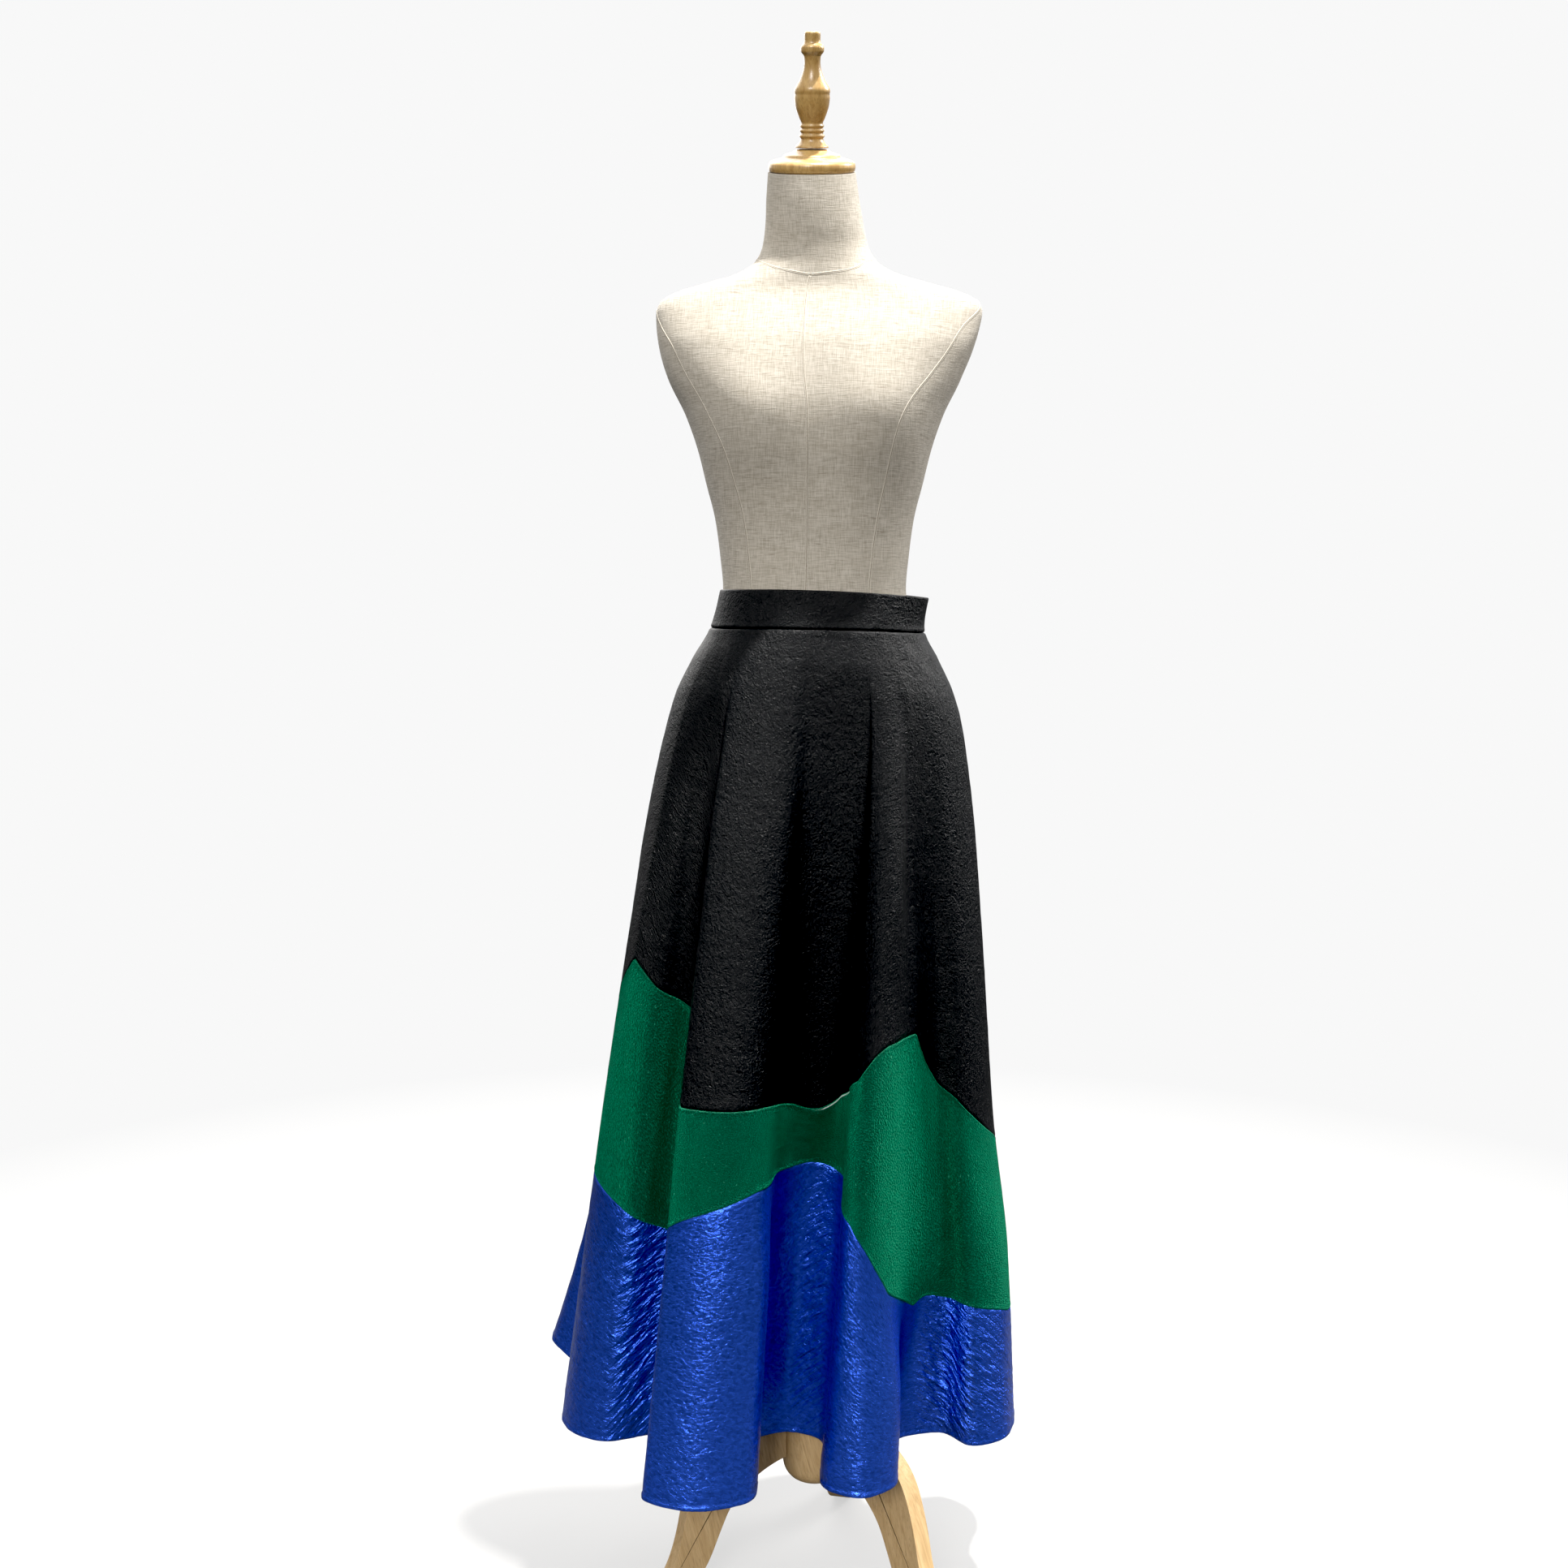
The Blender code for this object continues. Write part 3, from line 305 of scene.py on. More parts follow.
class Skirt:
    """The cloth's outer face for each place around it and each depth, as in the part's source, with its hip angles
    and starts on smooth curves, because fine cloth would show their corners."""

    def __init__(self):
        rows = []
        for _, x, out, facing, half, back, hip, spread, *rest in FLUTES:
            sine, cosine = math.sin(math.radians(facing)), math.cos(math.radians(facing))
            for side in (-1, 0, 1):
                along, behind = side * half, abs(side) * back
                spot = (x + along * cosine - behind * sine, out - along * sine - behind * cosine)
                rows.append([*spot, hip + side * spread, *rest[:3]])
        self.count = len(rows)
        self.wide = np.array(rows * 3 + rows[:1])
        self.wide[:, 2] += np.repeat([-360.0, 0.0, 360.0, 720.0], [self.count] * 3 + [1])
        chord = np.linalg.norm(np.diff(self.wide[:, :2], axis=0), axis=1)
        self.length = np.concatenate([[0], np.cumsum(chord)])
        secants = np.diff(self.wide, axis=0) / chord[:, None]
        before, after = chord[:-1, None], chord[1:, None]
        self.tangents = np.zeros_like(self.wide)
        self.tangents[1:-1] = (secants[:-1] * after + secants[1:] * before) / (before + after)
        self.knots = np.arange(-self.count, 2 * self.count + 1, dtype=float)

    def place_of(self, name, side=0):
        return [row[0] for row in FLUTES].index(name) * 3 + 1 + side

    def fold_values(self, places):
        """Hem x, hem out, hip angle, begin, bend and lift at each place."""
        cell = np.floor(places).astype(int) + self.count
        t = (places - np.floor(places))[:, None]
        width = (self.length[cell + 1] - self.length[cell])[:, None]
        ends = self.wide[cell], self.wide[cell + 1]
        smooth = hermite(t, width, *ends, self.tangents[cell], self.tangents[cell + 1])
        for column in range(2, 6):
            smooth[:, column] = curve_at(self.knots, self.wide[:, column], places)
        return smooth

    def seam(self, first, corner_names, places):
        """Depth of the seam whose three values in each row begin at the first column."""
        depths = [depth for row in FLUTES for depth in row[first:first + 3]]
        corners = {self.place_of(*name) + turn * self.count for name in corner_names for turn in range(3)}
        return curve_at(self.knots, np.array(depths * 3 + depths[:1]), places, corners)

    def upper_seam(self, places):
        return self.seam(UPPER_COLUMN, UPPER_CORNERS, places)

    def lower_seam(self, places):
        return self.seam(LOWER_COLUMN, LOWER_CORNERS, places)

    def band_drop(self, places, amount):
        turn = self.fold_values(places)[:, 2] - SLIT_AT
        away = np.clip((turn + 180) % 360 - 180, -SAG_REACH, SAG_REACH)
        return amount * (0.5 + 0.5 * np.cos(math.pi * away / SAG_REACH))

    def waist_seam(self, places):
        return BAND_DEEP + self.band_drop(places, BAND_DROP_SEAM)

    def band_top(self, places):
        return self.band_drop(places, BAND_DROP_TOP)

    def hem_line(self, places):
        return HEM_DEPTH - self.fold_values(places)[:, 5]

    def plain(self, angle, depth):
        """Across and out in cm on the skirt with no flutes."""
        levels = table_column(OUTLINE, 0)
        sizes = [curve_at(levels, table_column(OUTLINE, column), depth) for column in range(1, 5)]
        return section(np.radians(angle), *sizes, ROUNDNESS)[:2]

    def point(self, places, depth):
        """World positions of the outer face."""
        hem_x, hem_out, angle, begin, bend, lift = self.fold_values(places).T
        x, out = self.plain(angle, np.clip(depth, 0, HEM_DEPTH))
        plain_x, plain_out = self.plain(angle, np.full(len(places), HEM_DEPTH))
        grown = np.clip((depth - begin) / (HEM_DEPTH - lift - begin), 0, GROWN_MOST) ** bend
        x = x + grown * (hem_x - plain_x)
        out = out + grown * (hem_out - plain_out)
        return np.column_stack([x * CM + AXIS_X, -out * CM + AXIS_Y, WAIST_TOP - depth * CM])

    def grid(self, places, depths):
        """Points for rows of depths (cm), one value for each place."""
        rows = len(depths)
        return self.point(np.tile(places, rows), depths.ravel()).reshape(rows, len(places), 3)


# The one fold that stays crisp from the waist to the hem, and how much every other fold is softened
CRISP_FOLD = (
    # depth, place
    (4.2, 8.6), (6.75, 10.4), (15.5, 11.75), (35, 12.15), (66.75, 12.1),
    (94.3, 11.85),
)
CRISP_WIDTH = 0.55
SOFT_ROUNDS = 260
SOFTENING = (
    # depth, weight
    (0, 0), (5, 0.02), (9, 0.1), (34, 0.1), (50, 0.06), (60, 0.04), (70, 0.008),
    (94.3, 0.002),
)
SOFT_FOLDS = (
    # place, places wide, depth, depths tall, weight
    (14.7, 1.3, 37.0, 29.0, 0.45),
    (20.9, 1.9, 58.0, 22.0, 0.45),
)
SEAM_COLUMNS = 14


def softened_folds(points, places, depths):
    """The cloth with its folds rounded, but for the crisp one and the side seams."""
    columns = np.broadcast_to(places, depths.shape)
    weight = np.interp(depths, table_column(SOFTENING, 0), table_column(SOFTENING, 1))
    crisp = np.interp(depths, table_column(CRISP_FOLD, 0), table_column(CRISP_FOLD, 1))
    weight = weight * (1 - np.exp(-(((columns - crisp) / CRISP_WIDTH) ** 2)))
    for place, wide, depth, tall, most in SOFT_FOLDS:
        zone = np.exp(-(((columns - place) / wide) ** 4) - ((depths - depth) / tall) ** 6)
        weight = np.maximum(weight, most * zone)
    count = len(places)
    from_end = np.minimum(np.arange(count), np.arange(count)[::-1])
    weight = (weight * np.clip(from_end / SEAM_COLUMNS, 0, 1))[..., None]
    soft = points.copy()
    for _ in range(SOFT_ROUNDS):
        middle = 0.5 * (np.roll(soft[..., :2], 1, axis=1) + np.roll(soft[..., :2], -1, axis=1))
        soft[..., :2] += weight * (middle - soft[..., :2])
    return soft


def unit(vectors):
    return vectors / np.maximum(np.linalg.norm(vectors, axis=-1, keepdims=True), 1e-12)


def grid_normals(points):
    """Outward unit vectors of a grid whose rows go down and whose columns go round."""
    return unit(np.cross(np.gradient(points, axis=0), np.gradient(points, axis=1)))


NOISE_CELLS = 64
# Depths where the columns are spaced, with the weight of each, and how finely the line is measured
SPACED_AT = ((HEM_DEPTH - 4, 1.0), (14.0, 1.8))
FINE_PLACES = 4000
# The points along a crease, how many places away it reaches, how steeply its ends fade, and when it counts as lying
# across the cloth
CREASE_POINTS = 15
CREASE_NEAR = 2.5
CREASE_FADE = 0.7
CREASE_ACROSS = 4


def soft_noise(u, v, size_u, size_v, seed):
    """Smooth noise from -1 to 1 on lengths u and v, with its own seed."""
    lattice = np.random.default_rng(seed).uniform(-1, 1, (NOISE_CELLS, NOISE_CELLS))
    a, b = u / size_u, v / size_v
    i, j = np.floor(a).astype(int), np.floor(b).astype(int)
    s, t = a - i, b - j
    s, t = s * s * (3 - 2 * s), t * t * (3 - 2 * t)
    top, low = [
        lattice[i % NOISE_CELLS, k % NOISE_CELLS] * (1 - s) + lattice[(i + 1) % NOISE_CELLS, k % NOISE_CELLS] * s
        for k in (j, j + 1)
    ]
    return top * (1 - t) + low * t


def even_places(skirt, start, end):
    """Places about one step apart, measured both at the hem and on the hips."""
    fine = np.linspace(start, end, FINE_PLACES)
    most = np.zeros(len(fine) - 1)
    for depth, share in SPACED_AT:
        line = skirt.point(fine, np.full(len(fine), depth))
        most = np.maximum(most, share * np.linalg.norm(np.diff(line, axis=0), axis=1))
    length = np.concatenate([[0], np.cumsum(most)])
    count = int(round(length[-1] / COLUMN_STEP))
    return np.interp(np.linspace(0, length[-1], count + 1), length, fine)


def crease_relief(skirt, table, places, points):
    """Height in metres that the creases of a table add at each point."""
    relief = np.zeros(points.shape[:2])
    spots = np.linspace(0, 1, CREASE_POINTS)
    columns = np.broadcast_to(places, relief.shape)
    for place_a, depth_a, place_b, depth_b, bow, before, after, height in table:
        line_places = place_a + (place_b - place_a) * spots + bow * np.sin(math.pi * spots)
        line_depths = depth_a + (depth_b - depth_a) * spots
        line = skirt.point(line_places, line_depths)
        reach = 3 * max(before, after) * MM
        near = np.all((points > line.min(0) - reach) & (points < line.max(0) + reach), axis=2)
        near &= (columns > line_places.min() - CREASE_NEAR) & (columns < line_places.max() + CREASE_NEAR)
        spot = points[near]
        if not len(spot):
            continue
        best = np.full(len(spot), np.inf)
        along = np.zeros(len(spot))
        for i in range(len(line) - 1):
            step = line[i + 1] - line[i]
            t = np.clip((spot - line[i]) @ step / (step @ step), 0, 1)
            away = np.linalg.norm(spot - line[i] - t[:, None] * step, axis=1)
            closer = away < best
            best[closer] = away[closer]
            along[closer] = (i + t[closer]) / (len(line) - 1)
        side = columns[near] - np.interp(along, spots, line_places)
        if abs(place_b - place_a) * CREASE_ACROSS > abs(depth_b - depth_a):
            side = (WAIST_TOP - spot[:, 2]) / CM - np.interp(along, spots, line_depths)
        width = np.where(side < 0, before, after) * MM
        fade = np.sin(math.pi * np.clip(along, 0.02, 0.98)) ** CREASE_FADE
        relief[near] += height * MM * fade * np.exp(-(best / width) ** 2)
    return relief


# Meshes
def new_object(name, mesh, stuff):
    """Links a mesh as an object with its material."""
    made = bpy.data.objects.new(name, mesh)
    bpy.context.scene.collection.objects.link(made)
    mesh.materials.append(stuff)
    return made


def add_piece(name, mesh, stuff, node=None):
    """Adds a visible piece to the one body, in place of its solid where it has one."""
    piece = new_object(name, mesh, stuff)
    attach(piece, "root")
    if node:
        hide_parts(node)
    return piece


def mesh_of(body, name):
    mesh = bpy.data.meshes.new(name)
    body.to_mesh(mesh)
    body.free()
    return mesh


def grid_faces(rows, columns, ring=False, start=0, flip=False):
    row, column = np.meshgrid(np.arange(rows - 1), np.arange(columns if ring else columns - 1), indexing="ij")
    after = (column + 1) % columns
    low = (row + 1) * columns
    row = row * columns
    corners = np.stack([row + column, low + column, low + after, row + after], axis=-1).reshape(-1, 4)
    return (corners[:, ::-1] if flip else corners) + start


def shell_mesh(name, outer, inner, lengths, marks):
    """A closed thin shell between two grids, with lengths along and down the cloth in metres as its map."""
    rows, columns = outer.shape[:2]
    size = rows * columns
    points = np.concatenate([outer.reshape(-1, 3), inner.reshape(-1, 3)])
    index = np.arange(size).reshape(rows, columns)
    rim = np.concatenate([index[0], index[1:, -1], index[-1, -2::-1], index[-2:0:-1, 0]])
    after = np.roll(rim, -1)
    edge = np.stack([rim, after, after + size, rim + size], axis=1)
    faces = [grid_faces(rows, columns), grid_faces(rows, columns, start=size, flip=True), edge]
    mesh = bpy.data.meshes.new(name)
    mesh.from_pydata(points.tolist(), [], np.concatenate(faces).tolist())
    layer = mesh.uv_layers.new(name="cloth")
    corner = np.empty(len(mesh.loops), int)
    mesh.loops.foreach_get("vertex_index", corner)
    layer.data.foreach_set("uv", lengths.reshape(-1, 2)[corner % size].ravel())
    for label, values in marks.items():
        mark = mesh.attributes.new(label, "FLOAT", "POINT")
        mark.data.foreach_set("value", np.concatenate([values.ravel()] * 2))
    mesh.shade_smooth()
    return mesh


def cloth_piece(name, node, points, lengths, heights, stuff, marks):
    """A shell whose two faces lie at their heights in metres over the points, with its area and its lengths."""
    normals = grid_normals(points)
    outer, inner = [points + height[..., None] * normals for height in heights]
    piece = add_piece(name, shell_mesh(name, outer, inner, lengths, marks), stuff, node)
    corner = outer[:-1, :-1]
    area = np.linalg.norm(np.cross(outer[1:, :-1] - corner, outer[:-1, 1:] - corner), axis=2).sum()
    return piece, area, lengths


def cloth_lengths(points, middle):
    """Length along each row from the middle column, and down each column, in metres."""
    step = np.linalg.norm(np.diff(points, axis=1), axis=2)
    along = np.concatenate([np.zeros((len(points), 1)), np.cumsum(step, axis=1)], axis=1)
    along -= along[:, middle:middle + 1]
    drop = np.linalg.norm(np.diff(points, axis=0), axis=2).mean(axis=1)
    down = np.concatenate([[0], np.cumsum(drop)])
    return np.stack([along, np.broadcast_to(-down[:, None], along.shape)], axis=-1)


EDGE_ROWS = np.array([0.0, 0.05, 0.11, 0.18, 0.27, 0.38, 0.52, 0.7])


def panel_depths(top, bottom, row_step):
    """Rows of depths in cm between two lines, closer together at both edges."""
    count = max(4, int(round((np.mean(bottom - top) - 2 * EDGE_ROWS[-1]) / row_step)))
    first = [top + away for away in EDGE_ROWS]
    start, end = top + EDGE_ROWS[-1], bottom - EDGE_ROWS[-1]
    middle = [start + (end - start) * row / count for row in range(1, count)]
    last = [bottom - away for away in EDGE_ROWS[::-1]]
    return np.array(first + middle + last)


def hump(away, centre, width):
    return np.exp(-(((away - centre) / width) ** 2))


# The fold at the green cloth's upper edge that carries a painted highlight: its middle and half width in places, its
# middle and width away from the edge in mm, its mark in the painted sheen (high enough to paint it near white), and
# its height in mm
HIGHLIT_FOLD_SPAN = (16.85, 0.85)
HIGHLIT_FOLD_RIDGE = (2.0, 1.1)
PAINTED_HIGHLIGHT_MARK = 2.0
HIGHLIT_FOLD_HEIGHT = 0.5
CLOTHS = {
    # colour: thickness mm, row step cm, relief of the soft crinkle mm
    "black": (0.8, 0.5, 0.16),
    "green": (1.1, 0.45, 0.10),
    "blue": (0.7, 0.42, 0.30),
}
# Where a cloth is tucked under the one above, in mm: how far, how deep, and how soft the step is
TUCK = 3.5
TUCK_DEEP = 2.5
TUCK_SOFT = (1.0, 3.5)
# Low ridges (or dips) along the upper and the lower edge of each cloth
EDGES = {
    # cloth: ((height mm, away from the upper edge mm, width mm), ...), (the same for the lower edge)
    "black": (((0.3, 7.5, 2.5),), ((-1.6, 0, 1.9), (0.3, 6, 3))),
    "green": (((0.3, 1.6, 1.2), (-0.5, 0, 0.7)), ((0.45, 1.8, 1.4), (-0.7, 0, 0.8))),
    "blue": (((-1.7, 0, 2.6),), ((0.35, 2.4, 1.8), (-0.45, 5.6, 0.9))),
    "waistband": (((-0.8, 0, 0.8),), ((-0.7, 0, 1.0), (0.2, 3, 2))),
}
# The rolled lips of the green cloth, with a painted sheen that makes them paler: share, away from the edge mm, width
# mm
UPPER_PAINTED_SHEEN = (0.4, 0.2, 0.6)
LOWER_PAINTED_SHEEN = (0.8, 0.3, 0.8)


def edge_height(cloth, *aways):
    """Height in mm from the distances in mm to the upper and the lower edge."""
    total = np.zeros_like(aways[0])
    for away, ridges in zip(aways, EDGES[cloth]):
        for height, centre, width in ridges:
            total += height * hump(away, centre, width)
    if cloth == "black":
        under = np.clip((aways[0] - TUCK + TUCK_SOFT[0]) / TUCK_SOFT[1], 0, 1)
        total += TUCK_DEEP * (under**2 * (3 - 2 * under) - 1)
    return total


# How far the cloths reach past their seams, in cm, so that none shows a gap, and the cut at each side seam in places
BLACK_OVER = 0.10
GREEN_OVER = 0.04
LIP_OVER = 0.12
SEAM_TRIM = 0.0008
# Soft crinkles: share of the cloth's relief, lean, size along and down in metres, seed
CRINKLES = ((1.0, 0.0, 0.013, 0.011, 11), (0.6, 0.3, 0.024, 0.006, 12))
# The blue hem's puckers: height, away from the edge and width in mm, then size along and down in metres, and seed
PUCKER = (0.45, 1.5, 4.0)
PUCKER_NOISE = (0.0060, 0.05, 13)
# How deep and how wide in mm the cloth dips into a side seam
SIDE_DIP = (0.8, 1.6)
# Where sharp small creases run up (1) or down (-1) to the viewer's right, or both ways (0)
HATCHES = (
    # place, places wide, depth, depths tall, way
    (9.8, 1.9, 80, 15, 1), (6.4, 1, 82, 10, 0.35), (23.2, 1.3, 86, 8, -1),
    (25.6, 0.9, 86, 8, -0.45), (16.5, 0.6, 79, 14, 0.4), (34, 1.6, 84, 9, 0.9),
    (39.6, 1.3, 77, 9, -0.8), (45.4, 1.4, 83, 9, 0.8),
)


def hatching(places, depths):
    """The sum of the hatched zones at each point."""
    columns = np.broadcast_to(places, depths.shape)
    total = np.zeros(depths.shape)
    for place, wide, depth, tall, way in HATCHES:
        total += way * np.exp(-(((columns - place) / wide) ** 4) - ((depths - depth) / tall) ** 4)
    return total


def build_panels(skirt, stuffs):
    """Front and back panels of black, green and blue cloth."""
    made = {}
    seam_right, seam_left = [skirt.place_of(name) for name in SIDE_SEAMS]
    for side, start, end in (("front", seam_right, seam_left), ("back", seam_left, seam_right + skirt.count)):
        places = even_places(skirt, start, end)
        places[0] += SEAM_TRIM
        places[-1] -= SEAM_TRIM
        upper = skirt.upper_seam(places)
        lower = skirt.lower_seam(places)
        spans = {
            "black": (skirt.waist_seam(places) - TUCK * MM / CM, upper + BLACK_OVER),
            "green": (upper - GREEN_OVER, lower + LIP_OVER),
            "blue": (lower - BLACK_OVER, skirt.hem_line(places)),
        }
        for colour, (top, bottom) in spans.items():
            name = f"{colour}_{side}"
            thick, row_step, crinkle = CLOTHS[colour]
            depths = panel_depths(top, bottom, row_step)
            drawn = skirt.grid(places, depths)
            points = softened_folds(drawn, places, depths)
            lengths = cloth_lengths(points, len(places) // 2)
            top_away, bottom_away = (depths - top) * CM / MM, (bottom - depths) * CM / MM
            height = edge_height(colour, top_away, bottom_away)
            # The green cloth's rolled lips get a painted sheen through this mark: a paler green along both edges.
            painted_sheen = np.zeros_like(height)
            if colour == "green":
                upper_painted_sheen = UPPER_PAINTED_SHEEN[0] * hump(top_away, *UPPER_PAINTED_SHEEN[1:])
                painted_sheen = np.maximum(upper_painted_sheen, LOWER_PAINTED_SHEEN[0] * hump(bottom_away, *LOWER_PAINTED_SHEEN[1:]))
            # One fold at the green front's upper edge gets a near-white painted highlight, on top of its low ridge.
            if name == "green_front":
                shown = np.exp(-(((places - HIGHLIT_FOLD_SPAN[0]) / HIGHLIT_FOLD_SPAN[1]) ** 4)) * hump(top_away, *HIGHLIT_FOLD_RIDGE)
                painted_sheen = np.maximum(painted_sheen, PAINTED_HIGHLIGHT_MARK * shown)
                height += HIGHLIT_FOLD_HEIGHT * shown
            u, v = lengths[..., 0], lengths[..., 1]
            for share, lean, along, down, seed in CRINKLES:
                height += share * crinkle * soft_noise(u + lean * v, v, along, down, seed)
            if colour == "blue":
                height += PUCKER[0] * hump(bottom_away, *PUCKER[1:]) * soft_noise(u, v, *PUCKER_NOISE)
            from_seam = np.minimum(np.abs(u - u[:, :1]), np.abs(u - u[:, -1:])) / MM
            height -= SIDE_DIP[0] * hump(from_seam, 0, SIDE_DIP[1])
            relief = height * MM + crease_relief(skirt, CREASES[name], places, drawn)
            marks = {"painted_sheen": painted_sheen, "hatch": hatching(places, depths)}
            heights = relief, relief - thick * MM
            made[name] = cloth_piece(f"{name}_cloth", name, points, lengths, heights, stuffs[colour], marks)
    return made


# The zip's tape behind the band's slit: its half width in places, where it starts below the band's upper edge and
# ends below the waist seam in cm, and how far in it lies and its thickness in mm
ZIP_TOP_HALF = 0.35
ZIP_TOP_FROM = 0.1
ZIP_TOP_TO = 0.2
ZIP_TOP_IN = 2.5
ZIP_TOP_THICK = 0.5
# The band's soft crinkles: height mm, size along and down in metres, seed
BAND_CRINKLES = ((0.22, 0.03, 0.015, 21), (0.1, 0.009, 0.008, 22))
# How much thinner the band is at its two edges and over what width, in mm
BAND_ROUND = (0.5, 0.8)


def build_waistband(skirt, stuff):
    """The band round the waist, open at the slit."""
    slit = skirt.place_of("hollow_left")
    places = even_places(skirt, slit + SLIT_WIDTH / 2, slit + skirt.count - SLIT_WIDTH / 2)
    top = skirt.band_top(places)
    bottom = skirt.waist_seam(places) - BAND_SEAM_GAP
    depths = panel_depths(top, bottom, BAND_ROW_STEP)
    points = skirt.grid(places, depths)
    lengths = cloth_lengths(points, len(places) // 2)
    top_away, bottom_away = (depths - top) * CM / MM, (bottom - depths) * CM / MM
    height = edge_height("waistband", top_away, bottom_away)
    for share, along, down, seed in BAND_CRINKLES:
        height += share * soft_noise(lengths[..., 0], lengths[..., 1], along, down, seed)
    rounding = BAND_ROUND[0] * (hump(top_away, 0, BAND_ROUND[1]) + hump(bottom_away, 0, BAND_ROUND[1]))
    marks = {"painted_sheen": np.zeros_like(height)}
    heights = height * MM, (rounding - BAND_THICK) * MM
    return cloth_piece("waistband_cloth", "waistband", points, lengths, heights, stuff, marks)


def build_zip_top(skirt, stuff):
    """The zip's tape goes on up behind the two ends of the band."""
    slit = skirt.place_of("hollow_left")
    places = np.linspace(slit - ZIP_TOP_HALF, slit + ZIP_TOP_HALF, 7)
    top, bottom = skirt.band_top(places) + ZIP_TOP_FROM, skirt.waist_seam(places) + ZIP_TOP_TO
    depths = panel_depths(top, bottom, BAND_ROW_STEP)
    points = skirt.grid(places, depths)
    lengths = cloth_lengths(points, len(places) // 2)
    heights = [np.full(depths.shape, -inward * MM) for inward in (ZIP_TOP_IN, ZIP_TOP_IN + ZIP_TOP_THICK)]
    cloth_piece("zip_tape_top", None, points, lengths, heights, stuff, {})


# The form and the wood
def torso_at(turns, depths):
    """World points of the form for turns in radians and depths in cm."""
    levels = table_column(TORSO[::-1], 0)
    half, front, back, power, tilt, shift = [
        curve_at(levels, table_column(TORSO[::-1], column), depths) for column in range(1, 7)
    ]
    x, out, forward = section(turns, half, half, front, back, power)
    for side in (-1, 1):
        away = ((x - side * BUST_SIDE) / BUST_WIDE) ** 2 + ((depths - BUST_DEPTH) / BUST_TALL) ** 2
        out = out + BUST_OUT * np.exp(-away / 2) * np.clip(2 * forward, 0, 1)
    level = WAIST_TOP - (depths + tilt * out) * CM
    return np.stack([(x + shift) * CM + AXIS_X, -out * CM + AXIS_Y, level], axis=-1)


def build_torso(stuff):
    rows = int(round((TORSO[0][0] - TORSO[-1][0]) / TORSO_ROW_STEP)) + 1
    levels = np.linspace(TORSO[-1][0], TORSO[0][0], rows)
    turn, depth = np.meshgrid(np.linspace(0, 2 * math.pi, TORSO_COLUMNS, endpoint=False), levels)
    points = torso_at(turn, depth)
    step = np.linalg.norm(np.roll(points, -1, axis=1) - points, axis=2)
    mesh = bpy.data.meshes.new("linen_form")
    faces = grid_faces(rows, TORSO_COLUMNS, ring=True).tolist()
    faces.append(list(range(TORSO_COLUMNS)))
    faces.append(list(range((rows - 1) * TORSO_COLUMNS, rows * TORSO_COLUMNS))[::-1])
    mesh.from_pydata(points.reshape(-1, 3).tolist(), [], faces)
    # The map is cut at the back, so that the weave runs on across the front.
    layer = mesh.uv_layers.new(name="cloth")
    along = np.concatenate([np.zeros((rows, 1)), np.cumsum(step, axis=1)], axis=1)
    for face in mesh.polygons:
        columns = [index % TORSO_COLUMNS for index in face.vertices]
        wraps = max(columns) - min(columns) > TORSO_COLUMNS // 2
        from_back = wraps or min(columns) >= TORSO_COLUMNS // 2
        for loop, index, column in zip(face.loop_indices, face.vertices, columns):
            row = index // TORSO_COLUMNS
            place = TORSO_COLUMNS if wraps and column == 0 else column
            layer.data[loop].uv = (along[row, place] - along[row, -1] * from_back, -levels[row] * CM)
    mesh.shade_smooth()
    mesh.set_sharp_from_angle(angle=TORSO_SHARP)
    add_piece("linen_form", mesh, stuff, "torso")


# Each seam on the form is a low double ridge: across and up, how high it lies, its thickness and the length of a step
# in its map, in mm
SEAM_PROFILE = np.array([
    (-1.5, -0.12), (-0.9, 0.18), (-0.3, 0.16), (0.0, -0.04), (0.3, 0.16), (0.9, 0.18), (1.5, -0.12),
])
SEAM_UP = 0.15
SEAM_THICK = 0.6
SEAM_STEPS = 40
SEAM_MAP_STEP = 2
# Steps in radians and cm for the direction of the form's surface
NEAR_TURN = 0.01
NEAR_DEPTH = 0.1


